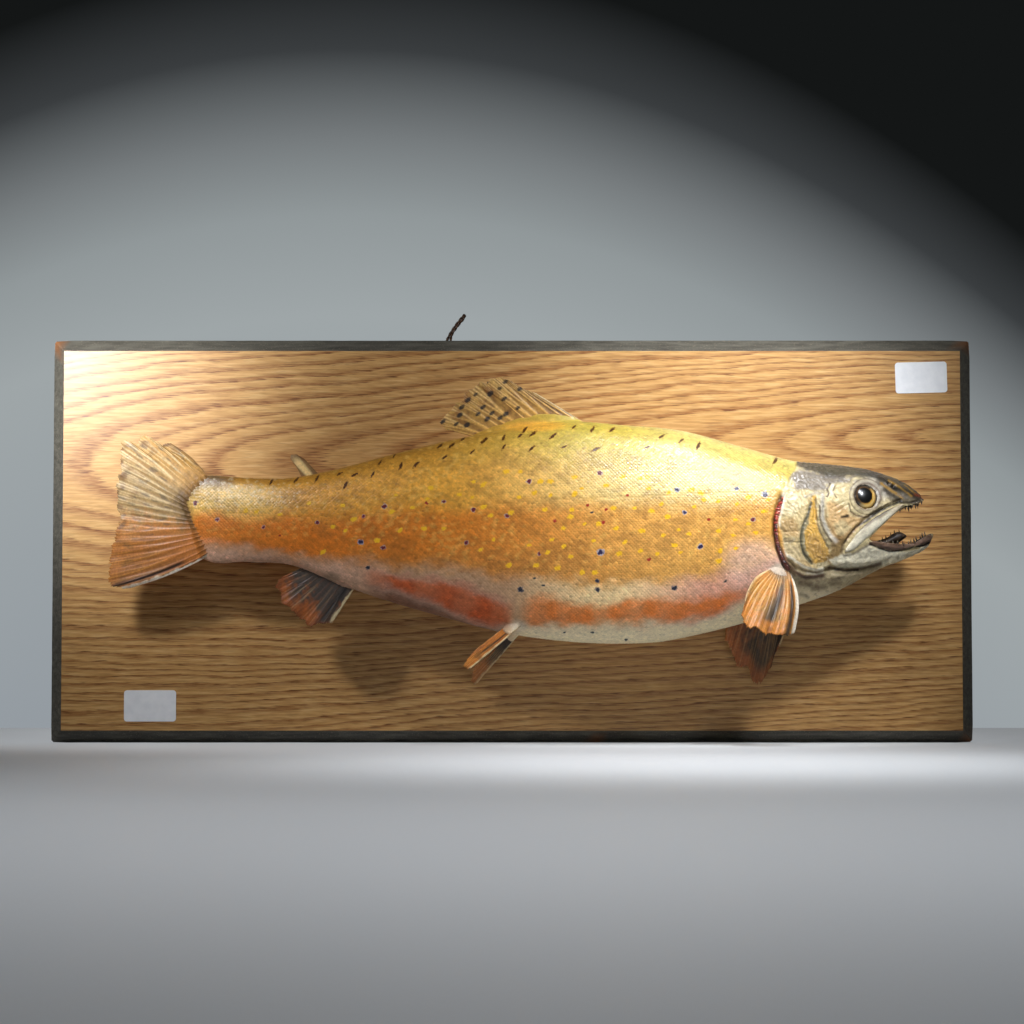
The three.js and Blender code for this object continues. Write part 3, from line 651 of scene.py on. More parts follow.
flankLines = {
    "lateral": [(-238, 22), (-209, 19), (-151, 15), (-79, 17), (-22, 22), (34, 26), (90, 28), (132, 30),
        (192, 32), (210, 33)],
    "orangeLow": [(-238, -2), (-209, -6), (-151, -13), (-93, -17), (-51, -21), (-8, -28), (34, -32),
        (90, -30), (132, -26), (160, -22), (200, -12)],
    "stripeTop": [(-120, -19), (-79, -26), (-51, -31), (-23, -39), (-5, -44), (20, -44), (62, -45),
        (104, -44), (146, -40), (185, -28)],
    "stripeLow": [(-120, -27), (-79, -38), (-51, -47), (-23, -58), (-5, -62), (20, -60), (62, -60),
        (104, -59), (133, -55), (164, -44), (190, -33)],
}
# Soft patches on the flank: colour, x, z, reach in mm, how flat they are, and strength.
flankPatches = [("blush", 170, -20, 30, 1.2, 0.5), ("rootPale", 188, -24, 10, 1.3, 0.85),
    ("rootPale", 4, -62, 9, 1.6, 0.6), ("bareGrey", -128, -28, 8, 1.6, 0.5), ("upperMid", 16, 80, 30, 5, 0.7)]
# Areas of the head's paint, in order: colour, softness of the edge in mm, strength and outline.
headAreas = [
    ("crown", 1.6, 0.92, [(196, 62), (200, 52), (205, 49), (215, 45.5), (222, 42), (232, 40), (238, 43.5),
        (250, 43), (262, 41), (268, 38), (276, 33), (310, 20), (310, 62)]),
    ("lilac", 2.2, 0.9, [(197, 43), (203, 49), (209, 48.5), (216, 46), (222, 44), (230, 43), (243, 44),
        (240, 38.5), (229, 36.5), (224, 33), (212, 32), (200, 34)]),
    ("cover", 0.8, 1.0, [(190, 33), (186, 22), (185, 2), (187, -8), (190, -16), (196, -20), (204, -24),
        (212, -25), (216, -19), (210, -17), (204.4, -11), (202.7, -4.5), (202.6, 1.5), (204.5, 8.5),
        (208, 16), (210.5, 24), (210, 32)]),
    ("coverPale", 1.6, 0.6, [(190, 30), (189, 16), (197, 14), (203, 20), (208, 30)]),
    ("coverTan", 2.0, 0.75, [(188.5, 12), (197, 13.5), (201, 8), (201, 0), (190, 0.5), (187.6, 4)]),
    ("coverGrey", 1.3, 0.65, [(190, -0.6), (199, -0.8), (198, -4.6), (191, -4.8)]),
    ("coverTan", 2.4, 0.5, [(189, -6), (200, -6), (203, -12), (209, -18), (214, -22), (204, -22), (192, -14)]),
    ("coverPale", 1.2, 0.4, [(189, -5.5), (200, -6), (203, -12), (209, -17), (200, -16), (192, -12)]),
    ("olive", 1.0, 0.9, [(210, 24), (208, 16), (204.5, 8.5), (202.6, 1.5), (202.7, -4.5), (204.4, -11),
        (207, -15.5), (210.5, -17), (207.5, -11), (206.2, -4.5), (206.2, 1.5), (208.6, 8.5), (211, 16),
        (213, 28), (211, 31)]),
    ("gold", 0.9, 0.97, [(211.6, 29.5), (209.8, 16), (207.2, 8.5), (205.8, 1.5), (205.9, -4.5), (207.5, -11),
        (210.5, -17), (214, -18.5), (219.3, -17.5), (223, -13), (222, -8), (219.3, -2), (216.2, 3),
        (214.4, 10), (213.6, 22), (213.6, 29)]),
    ("goldLow", 2.0, 0.8, [(207.5, 1), (215, 1), (221, -9), (221.5, -13), (218, -16.5), (212, -16), (208, -9)]),
    ("cheek", 1.8, 0.95, [(221.6, 26), (227, 24), (236, 21), (239, 15.5), (247, 13.5), (251, 13), (243, 5),
        (236, -2), (229, -4), (224, 3), (221.8, 12)]),
    ("cheekLow", 2.2, 0.85, [(224, -3), (230, 2), (237, 0), (233, -8), (231, -15), (224, -19), (220, -16),
        (223.6, -10)]),
    ("cheekPale", 1.6, 0.85, [(222, 37), (230, 38.6), (238, 38), (239.5, 30), (238, 24.5), (229, 25),
        (222.5, 29)]),
    ("cheekPale", 1.4, 0.7, [(226, 9), (233, 11), (238, 7), (233, 1), (228, 2)]),
    ("jaw", 1.2, 0.95, [(224, -16), (232, -12), (240, -12), (252, -6), (262, -8), (276, -9.6), (288, -8),
        (299, -3), (299, -14), (280, -16), (262, -19.5), (247, -21), (229, -21.5)]),
    ("jawLow", 2.0, 0.6, [(226, -18), (250, -16.6), (270, -12.6), (290, -9), (297, -12), (262, -20),
        (247, -21.5), (229, -22)]),
    ("gum", 0.7, 0.95, [(252, -3), (262, -1.6), (271, -3), (280.5, -1), (288, 1.6), (299, 6), (299, -3.4),
        (293.5, -5), (285, -6.2), (276.5, -8.6), (267.5, -9.4), (260, -7.4), (253, -5)]),
    ("snout", 1.6, 0.85, [(258, 40), (262, 33), (268, 27), (276, 24.5), (286, 24), (299, 26), (299, 44),
        (262, 46)]),
]
# Brushed and inked lines over them: colour, half width in mm, strength and line.
headStrokes = [
    ("seam", 0.8, 0.9, [(210.5, 24), (208, 16), (204.5, 8.5), (202.6, 1.5), (202.7, -4.5), (204.4, -11),
        (207, -15.5), (210.5, -18.5)]),
    ("line", 0.5, 0.5, [(213.8, 28), (213.6, 20), (214.6, 10), (217, 2.6), (220.2, -3.4), (223, -9)]),
    ("crescent", 1.6, 0.75, [(218.8, 29), (218.3, 19.5), (218.3, 12.5), (220.5, 7), (223.5, 1.5),
        (227.5, -2.6)]),
    # painted shade: a dark line just behind the pale crescent, on the slope that the cover's front ridge shades
    ("line", 0.6, 0.75, [(216.4, 22), (216.2, 14), (217.6, 8), (220.4, 2.6), (224.6, -3)]),
    ("cheekLow", 0.8, 0.7, [(220.6, 19), (221, 12.5), (223.4, 7), (226.6, 2.4), (230.5, -1)]),
    ("edge", 0.8, 0.95, [(191.5, 31), (189.8, 21), (187.4, 12), (186.8, 3), (187.6, -3), (190.4, -10),
        (195, -15.5)]),
    ("edge", 0.8, 0.9, [(194, -13.5), (199, -17.2), (205, -21), (213, -23.2), (219, -22.6)]),
    ("edge", 0.6, 0.75, [(207, -24.6), (214, -26.2), (219, -24.6)]),
    ("coverGrey", 0.8, 0.7, [(197, -19), (205, -23.4), (212, -25), (218, -24)]),
    # painted shade: deep red brown in the slit under the cover, the gill's own colour deepened by the shadow
    # there
    ("slit", 1.6, 0.85, [(192, -17), (199.5, -25), (207, -28.6), (219, -27)]),
    ("orbit", 0.9, 0.7, [(206, 28), (213, 31), (219, 31)]),
    ("line", 0.45, 0.8, [(224.6, 38), (222.2, 34), (223.4, 31), (222, 28.6)]),
    ("line", 0.35, 0.6, [(228, 36), (226, 32), (228.6, 28)]),
    ("edge", 0.7, 0.7, [(226.4, 37), (224.8, 33), (226.2, 29.6)]),
    ("line", 0.5, 0.7, [(237.5, 24), (238.5, 18), (242, 15.5), (248.5, 14), (255, 16.5), (262, 20)]),
    ("blotch", 1.1, 0.5, [(239, 17), (245, 14.4), (252, 14.6)]),
    ("ink", 0.95, 0.95, [(232, 14.2), (236.4, 14.9)]),
    ("ink", 0.9, 0.9, [(275.4, 26), (268, 22.8), (261, 19.4), (255.3, 15.7), (250, 11.8), (245, 9)]),
    ("line", 0.7, 0.8, [(245, 9), (241, 5.6), (237, 1), (233.8, -4)]),
    ("line", 0.5, 0.7, [(276, 28), (268, 25), (261, 21.6), (255, 18)]),
    ("line", 0.8, 0.6, [(232.6, -6), (231.6, -10), (234, -13), (240, -12), (247, -8), (252, -5.6)]),
    ("ink", 0.55, 0.9, [(253, -4.8), (260, -7.6), (267.5, -9.5), (276.5, -8.8), (285, -6.4), (293.5, -5),
        (298, -3)]),
    ("blotch", 0.6, 0.6, [(256, -3.6), (266, -4.6), (277, -4.4), (288, -1.2), (296, 1.6)]),
    ("blotch", 1.3, 0.85, [(224, -21.4), (234.5, -23), (243.5, -22.4), (253, -20.6), (262, -18.4)]),
    ("ink", 0.7, 0.8, [(228, -22.4), (236, -23.4), (245, -22.6)]),
    ("throatPale", 0.7, 0.6, [(226, -26), (236, -27), (248, -24.6)]),
    ("ink", 2.0, 0.7, [(262, 42.5), (267, 40), (271, 36), (275, 34.5), (282, 33), (288, 29)]),
    ("ink", 1.1, 0.6, [(264, 35), (268, 31), (274, 28)]),
    ("ochre", 0.9, 0.7, [(262, 38.5), (270, 33), (277, 29)]),
    ("ochre", 0.7, 0.6, [(268, 41), (276, 36), (284, 30)]),
    ("ochre", 0.6, 0.5, [(280, 38), (287, 32)]),
    ("lilac", 0.8, 0.8, [(264.5, 38.6), (268, 38)]),
    ("lilac", 0.7, 0.7, [(274, 31), (280, 28.6)]),
    ("ink", 1.4, 0.9, [(269.8, 36.4), (271.6, 35.4)]),
    ("ink", 0.9, 0.8, [(266.6, 38.8)]),
    ("rust", 1.1, 0.8, [(287, 31.4), (291, 30.6), (294, 28)]),
    ("ink", 0.8, 0.7, [(276, 25.4), (282, 25), (290, 27)]),
    ("lid", 0.7, 0.6, [(255, 37.5), (260, 33), (261, 27), (257, 21)]),
    ("crescent", 0.7, 0.5, [(258, 33.6), (259.4, 28), (256.6, 22.6)]),
    ("blotch", 2.0, 0.6, [(203, -32), (211, -33)]),
    ("blotch", 1.8, 0.6, [(213, -36), (221, -35)]),
    ("blotch", 1.4, 0.55, [(226, -33), (232, -32)]),
    ("blotch", 1.0, 0.5, [(226, -30), (231, -29)]),
    ("blotch", 1.2, 0.45, [(204, -40), (210, -42)]),
    ("edge", 1.5, 0.7, [(219, -42.4), (227, -40)]),
    ("bareGrey", 1.4, 0.6, [(200.5, 51), (196, 44), (191.5, 36)]),
]


def paintAt(points):
    # the paint's colour at each place, in linear light, the same for skin and scales
    x, _, z = points.T
    tone = {key: np.array(linear(code)) for key, code in paintBox.items()}
    broad, small, fine = mottle(points, 22, 3), mottle(points, 7, 4), mottle(points, 2.6, 6)
    drift = broad * 2.2 + small * 1.4 + fine * 0.8
    half = np.maximum((back(x) - belly(x)) / 2, 1)
    height = (z - (back(x) + belly(x)) / 2) / half
    lateral, orangeLow = (through(flankLines[key])(x) + drift for key in ("lateral", "orangeLow"))
    stripeTop, stripeLow = (through(flankLines[key])(x) + drift * 0.8 for key in ("stripeTop", "stripeLow"))
    toFront = ease(-60, 120, x)
    toRear = ease(-40, -170, x)
    ones = np.ones((len(x), 3))
    upper = laid(ones, tone, [("upperMid", 1), ("upperFront", toFront), ("upperRear", toRear),
                              ("stemGold", ease(-140, -200, x))])
    ridge = laid(ones, tone, [("backRear", 1), ("backFront", ease(-80, 60, x)),
                              ("backPale", ease(70, 130, x) * ease(0.7, 0.95, height))])
    colour = blend(upper, ridge, ease(0.55 - 0.15 * toFront, 0.9 - 0.12 * toFront, height + drift * 0.02))
    colour = blend(colour, tone["backTop"], 0.6 * ease(0.8, 1.0, height) * ease(60, -60, x))
    orange = laid(ones, tone, [("orangeMid", 1), ("orangeFront", toFront), ("orangeRear", toRear)])
    colour = blend(colour, orange, 0.92 * ease(9, -9, z - lateral + 5 * toFront))
    lower = ease(lateral - 24, orangeLow, z)
    colour = blend(colour, tone["lowerFlank"], 0.55 * lower * ease(120, 20, x))
    # worn brown clouds between the golden ones
    cloud = ease(0.15, 1.1, mottle(points, 13, 8) + 0.7 * mottle(points, 4.5, 9)) * ease(-0.75, -0.45, height)
    colour = blend(colour, tone["brown"], 0.28 * cloud * ease(1.0, 0.5, height))
    fleck = ease(0.6, 1.2, mottle(points, 3.2, 42) + 0.5 * broad)
    colour = blend(colour, tone["stemGold"], 0.28 * fleck * ease(-0.5, -0.2, height))
    pale = laid(ones, tone, [("pale", 1), ("paleFront", ease(-10, 60, x)), ("pink", ease(70, 140, x)),
                             ("pinkRear", ease(-60, -130, x))])
    colour = blend(colour, pale, ease(6, -7, z - orangeLow))
    # the stripe above the white belly: one long patch in front, and one behind it
    along = ease(2, 18, x) * ease(180, 146, x)
    behind = ease(-112, -84, x) * ease(4, -8, x)
    inStripe = ease(4.5, -4, z - stripeTop) * ease(-4, 4, z - stripeLow)
    patchy = 0.9 + 0.1 * np.clip(mottle(points, 9, 10), -1, 1)
    edge = np.exp(-((z - stripeLow + 1.5) / 4.0) ** 2)
    colour = laid(colour, tone, [
        ("bellyWhite", ease(4, -7, z - stripeLow) * ease(-30, 12, x)),
        ("bellyRear", 0.9 * ease(4, -5, z - stripeLow) * ease(12, -24, x) * ease(-112, -84, x)),
        ("plum", (0.25 * along + 0.6 * behind) * edge),
        ("stripe", 0.97 * inStripe * along * patchy),
        ("stripeRear", 0.95 * inStripe * behind * patchy),
        ("plum", 0.35 * behind * np.exp(-((z - stripeTop) / 3.2) ** 2)),
        # grey brown on top of the stem, and dark where the tail fin's rays start
        ("stemGrey", 0.75 * ease(-196, -212, x + drift) * ease(0.55, 0.85, height)),
        ("finRoot", 0.85 * ease(-227, -236, x + small * 1.5 - 0.009 * (z - 15) ** 2))])
    for name, fx, fz, reach, flat, strength in flankPatches:
        bare = strength * ease(reach, reach * 0.4, np.hypot(x - fx, (z - fz) * flat) + 0.6 * small)
        colour = blend(colour, tone[name], bare)
    # the bare head
    border = np.interp(z, [-48, -28, 10, 32, 40, 48, 56], [204, 197, 186.5, 191, 195.5, 200.5, 203.5])
    onHead = ease(-1.0, 1.0, x - border + drift * 0.25)
    head = laid(ones, tone, [("cheekPale", 1), ("throat", ease(-14, -23, z)), ("throatPale", ease(-32, -42, z)),
                             ("crescent", 0.8 * ease(24, 32, z) * ease(240, 262, x))])
    crease = 0.22 * np.abs(fine) + 0.15 * np.abs(small)
    for name, soft, strength, outline in headAreas:
        signed = np.where(insideOutline(x, z, outline), 1, -1) * lineDistance(x, z, outline + outline[:1])
        head = blend(head, tone[name], strength * ease(-soft, soft, signed + 0.5 * small + 0.4 * fine))
    ex, ez = headForm["eyeAt"]
    ring = np.hypot(x - ex - 0.6, (z - ez) * 0.98)
    # blotches and creases of dried skin, strongest on the crown, the cover and the throat
    blot = ease(0.5, 1.2, mottle(points, 3.2, 12) + 0.6 * mottle(points, 1.4, 13))
    wrinkle = np.abs(np.sin((x * 0.75 + z * 0.5) * 1.1 + 2.4 * mottle(points, 6, 17)))
    onCover = insideOutline(x, z, headForm["gillCover"])
    head = laid(head, tone, [
        ("orbit", (0.35 + 0.45 * ease(-4, 8, z - ez)) * ease(14.5, 11.0, ring + 0.8 * fine + 0.8 * small)),
        ("lid", 0.75 * np.exp(-((ring - 9.4) / 0.8) ** 2)),
        ("line", 0.6 * np.exp(-((ring - 12.6) / 0.5) ** 2) * ease(262, 256, x)),
        ("blotch", 0.32 * blot * np.maximum(ease(-20, -26, z), 0.35)),
        ("lilac", 0.2 * ease(0.5, 1.2, mottle(points, 2.4, 14)) * ease(38, 44, z)),
        ("edge", 0.35 * ease(0.25, 0.0, wrinkle) * onCover),
        ("coverGrey", 0.3 * ease(0.9, 1.0, wrinkle) * onCover)])
    for name, width, strength, line in headStrokes:
        close = np.exp(-(np.maximum(lineDistance(x, z, line) - 0.4 + crease, 0) / width) ** 2)
        head = blend(head, tone[name], strength * close)
    colour = blend(colour, head, onHead)
    # painted shade: the groove behind the gill cover's rear edge is darkened to deep red brown, the gill's own
    # colour deepened by the shadow in the slit
    signed = np.where(onCover, 1, -1) * lineDistance(x, z, headForm["coverRear"])
    slit = np.exp(-((signed + 2.0) / 1.7) ** 2) * (signed < 0)
    colour = blend(colour, tone["slit"], 0.9 * slit * ease(33, 27, z) * ease(-30, -20, z) * ease(212, 202, x))
    inMouth = ease(0.93, 0.86, shellLevel(points)) * ease(222, 226, x)
    colour = blend(colour, tone["mouthDark"], inMouth)
    clean = 1 - 0.7 * ease(4, -7, z - stripeLow) * ease(-30, 12, x)
    shade = 1 + (0.07 * mottle(points, 4, 21) + 0.06 * mottle(points, 1.8, 22)) * clean
    return np.clip(colour * shade[:, None], 0, 1)


def glossAt(points):
    # the varnish lies thickest on the upper front flank and on the stem
    x, _, z = points.T
    front = ease(10, 110, x) * ease(10, 42, z) * ease(212, 200, x)
    stem = ease(-140, -190, x) * ease(12, 30, z)
    return 0.25 + 0.75 * front + 0.45 * stem


# Marks painted on both flanks, as (x, z): their colours, their reach in mm and where they are.
flankMarks = {
    "redSpots": {
        "core": "#6a1c2c", "rim": "#b3a3a6", "along": 2.1, "across": 1.8, "lean": 30,
        "at": [(-227, 26), (-211, 14), (-177, 8), (-138, 11), (-105, 15), (-91, -7), (-107, -3), (-90, 22),
            (-48, 25), (-27, 19), (-32, -4), (-3, 15), (12, 39), (19, -12), (62, 45), (62, -11), (169, 12)]},
    "blueSpots": {
        "core": "#2a2145", "rim": "#a9b2c6", "along": 2.6, "across": 2.3, "lean": 0,
        "at": [(116, 33), (121, 17), (132, -7), (62, -11), (158, 34), (178, 30), (-107, -3)]},
    "darkSpots": {
        "core": "#1d2433", "rim": "#565c6a", "along": 2.5, "across": 2.2, "lean": 0,
        "at": [(-102, -21), (6, -37), (60, -37), (114, -36), (60, -31)]},
    "redFlecks": {
        "core": "#a02c22", "rim": "#b0522f", "along": 1.5, "across": 1.2, "lean": 0,
        "at": [(-165, 2), (81, 29), (66, 19), (64, 10), (53, 22), (30, 11), (138, 12), (96, -16), (-60, 24)]},
    "darkFlecks": {
        "core": "#3a3a38", "rim": "#77766a", "along": 1.5, "across": 0.9, "lean": 15,
        "at": [(22, -34), (37, -67), (57, -67), (81, -72), (56, 17), (150, -31), (16, -29)]},
    "yellowSpots": {
        "core": "#f4bd22", "rim": "#e6ab3c", "along": 2.6, "across": 1.8, "lean": 20,
        "at": [(-190, 20), (-182, 19), (-165, 17), (-144, 25), (-120, 23), (-112, 13), (-127, 8), (-118, 5),
            (-134, -10), (-82, 30), (-70, 21), (-57, 35), (-60, 27), (-37, 30), (-85, 18), (-95, -2),
            (-79, 5), (-62, 6), (-48, 6), (-27, 39), (-20, 37), (-28, 28), (-4, 46), (6, 46), (20, 39),
            (27, 39), (5, 28), (16, 31), (27, 29), (44, 42), (44, 30), (49, 34), (66, 36), (-20, 21),
            (-15, 15), (-1, 17), (23, 19), (42, 19), (51, 9), (28, -2), (36, -7), (57, -3), (25, -11),
            (-13, -2), (41, -14), (78, 42), (90, 41), (95, 42), (96, 34), (110, 31), (126, 33), (133, 31),
            (105, 23), (98, 18), (86, 20), (109, 14), (135, 26), (145, 25), (128, 21), (158, 23), (166, 28),
            (180, 26), (177, 18), (157, 12), (166, 9), (171, 3), (155, 1), (157, -8), (146, -10), (145, 4),
            (124, 2), (117, 5), (106, 1), (114, -6), (118, -11), (102, -12), (90, -10), (91, 4), (79, -4),
            (75, -12), (73, 6), (71, 20), (61, 9), (41, 14), (58, -25), (49, -25), (36, 6), (145, -17),
            (12, -6), (-22, -9), (-2, -20), (17, -20), (32, -22)]},
    "backDashes": {
        "core": "#4a2602", "rim": "#8f5f1c", "along": 3.6, "across": 1.15, "lean": 48,
        "at": [(-172, 41), (-154, 42), (-139, 43), (-123, 46), (-112, 45), (-99, 45), (-94, 54), (-79, 51),
            (-68, 52), (-48, 57), (-51, 66), (-43, 66), (-28, 61), (-20, 69), (-6, 71), (-6, 64), (6, 73),
            (15, 74), (14, 63), (9, 77), (29, 72), (37, 64), (57, 77), (71, 77), (59, 62), (96, 64),
            (106, 72), (120, 69), (132, 65), (187, 55), (-118, 38), (-84, 59), (-35, 71), (44, 79)]},
}


def markFaces(obj, places):
    # gives each face its nearest mark, so that the mark's edge can be drawn sharp in the material
    rows, looks = [], []
    for group in flankMarks.values():
        wobble = np.random.default_rng(len(rows) + 5)
        for px, pz in group["at"]:
            size = wobble.uniform(0.7, 1.15)
            lean = math.radians(group["lean"] + wobble.uniform(-22, 22))
            rows.append((px, pz, group["along"] * size, group["across"] * size, lean))
            looks.append(linear(group["core"]) + linear(group["rim"]))
    rows, looks = np.array(rows), np.array(looks)
    nearest = np.zeros(len(places), int)
    closest = np.full(len(places), 1e9)
    for i, (px, pz, along, _, _) in enumerate(rows):
        gap = np.hypot(places[:, 0] - px, places[:, 2] - pz) / along
        closer = gap < closest
        nearest[closer], closest[closer] = i, gap[closer]
    picked = rows[nearest]
    turn = picked[:, 4]
    setAttribute(obj, "markPlace", "FLOAT_VECTOR", "FACE",
                 np.stack([picked[:, 0] * mm, np.zeros(len(picked)), picked[:, 1] * mm], -1))
    setAttribute(obj, "markLean", "FLOAT_VECTOR", "FACE",
                 np.stack([np.cos(turn), np.zeros(len(turn)), np.sin(turn)], -1))
    setAttribute(obj, "markReach", "FLOAT_VECTOR", "FACE",
                 np.stack([picked[:, 2] * mm, np.zeros(len(turn)), picked[:, 3] * mm], -1))
    setAttribute(obj, "markCore", "FLOAT_COLOR", "FACE", looks[nearest, :3])
    setAttribute(obj, "markRim", "FLOAT_COLOR", "FACE", looks[nearest, 3:])


# Airbrushed oil paint on a tanned skin, under a clear varnish: soft colour with a wet gloss on top.
def varnishedPaint(name, grainSize, grainDepth, withMarks=True):
    material, tree, shader, place = newMaterial(name, Roughness=0.5, IOR=1.45, Specular_IOR_Level=0.2,
                                                Coat_Weight=0.3, Coat_Roughness=0.28)
    colour = addNode(tree, "Attribute", attribute_name="paint").outputs["Color"]
    # specks of paint, finer on a real mount and drawn as coarse as they need to show
    speck = addNode(tree, "TexNoise", {"Vector": place, "Scale": perMetre(1.111), "Detail": 3.0})
    light = addNode(tree, "MapRange", {"Value": speck, "To Min": 0.72, "To Max": 1.28})
    colour = addNode(tree, "VectorMath", {0: colour, 1: light}, operation="MULTIPLY")
    if withMarks:
        plug(tree, shader, {"Coat Weight": addNode(tree, "Attribute", attribute_name="gloss").outputs["Fac"]})
        kinds = {"markPlace": "Vector", "markLean": "Vector", "markReach": "Vector", "markCore": "Color",
                 "markRim": "Color"}
        markPlace, markLean, markReach, markCore, markRim = (
            addNode(tree, "Attribute", attribute_name=key).outputs[kind] for key, kind in kinds.items())
        # how far each place is from its mark's middle, as a share of the mark's own long and short reach
        away = addNode(tree, "VectorMath", {0: place, 1: markPlace}, operation="SUBTRACT")
        lean, reach = (addNode(tree, "SeparateXYZ", {0: way}) for way in (markLean, markReach))
        minusSine = addNode(tree, "Math", {0: lean.outputs[2], 1: -1.0}, operation="MULTIPLY")
        crossways = addNode(tree, "CombineXYZ", {0: minusSine, 2: lean})
        squares = []
        for way, size in ((markLean, reach.outputs[0]), (crossways, reach.outputs[2])):
            flat = addNode(tree, "VectorMath", {0: away, 1: way}, operation="DOT_PRODUCT").outputs["Value"]
            ratio = addNode(tree, "Math", {0: flat, 1: size}, operation="DIVIDE")
            squares.append(addNode(tree, "Math", {0: ratio, 1: 2.0}, operation="POWER"))
        square = addNode(tree, "Math", {0: squares[0], 1: squares[1]}, operation="ADD")
        ring = addNode(tree, "Math", {0: square, 1: 0.5}, operation="POWER")
        # the brush leaves the edge ragged
        ragged = addNode(tree, "TexNoise", {"Vector": place, "Scale": perMetre(1.25), "Detail": 2.0})
        uneven = addNode(tree, "Math", {0: ragged, 1: 1.5, 2: -0.75}, operation="MULTIPLY_ADD")
        ring = addNode(tree, "Math", {0: ring, 1: uneven}, operation="ADD")
        for tone, inner, outer, strength in ((markRim, 0.86, 1.04, 0.75), (markCore, 0.62, 0.8, 0.97)):
            share = addNode(tree, "MapRange", {"Value": ring, "From Min": inner, "From Max": outer,
                                               "To Min": strength, "To Max": 0.0})
            colour = addNode(tree, "Mix", {"Factor": share, 6: colour, 7: tone}, data_type="RGBA").outputs[2]
    grain = addNode(tree, "TexNoise", {"Vector": place, "Scale": perMetre(grainSize), "Detail": 4.0})
    bump = addNode(tree, "Bump", {"Height": grain, "Distance": grainDepth * mm, "Strength": 0.6})
    plug(tree, shader, {"Base Color": colour, "Normal": bump})
    return material


scaleForm = {
    "pitch": 2.6,          # from one scale to the next along the body
    "rowStep": 1.3,        # between rows, every other row half a pitch back
    "frontX": 205, "rearX": -237,
    # a scale seen flat, as (towards the tail, across, height): its edge points from the tip round
    "edge": [(2.25, 0, 0.15), (1.75, 0.85, 0.10), (0.4, 1.25, 0.0), (-1.3, 0.85, -0.2), (-1.3, -0.85, -0.2),
        (0.4, -1.25, 0.0), (1.75, -0.85, 0.10)],
    "crown": (0.55, 0, 0.21),
    "patch": 0.003,        # size of each scale's own patch on the flat map
}
headBorder = [(-49, 206), (-40, 202), (-28, 196), (-18, 186.5), (-8, 183), (6, 181.5), (18, 182.5),
    (29, 187.5), (34, 191.5), (40, 195), (48, 199.5), (57, 203.5)]


def borderAt(z):
    pz, px = np.array(headBorder, float).T
    return np.interp(z, pz, px)


def bodyRelief(x, z):
    # how far the flank is pressed in or raised behind the head, for skin and scales alike
    inside = insideOutline(x, z, headForm["gillCover"])
    rear = lineDistance(x, z, headForm["coverRear"])
    signed = np.where(inside, rear, -rear)
    slit = np.exp(-((signed + 2.6) / 1.7) ** 2) * (signed < 0) * ease(34, 26, z) * ease(-32, -20, z)
    low = -1.9 * slit * ease(214, 202, x)
    lateral = np.exp(-((z - through(flankLines["lateral"])(x)) / 0.7) ** 2) * (x < borderAt(z))
    return low - 0.22 * lateral


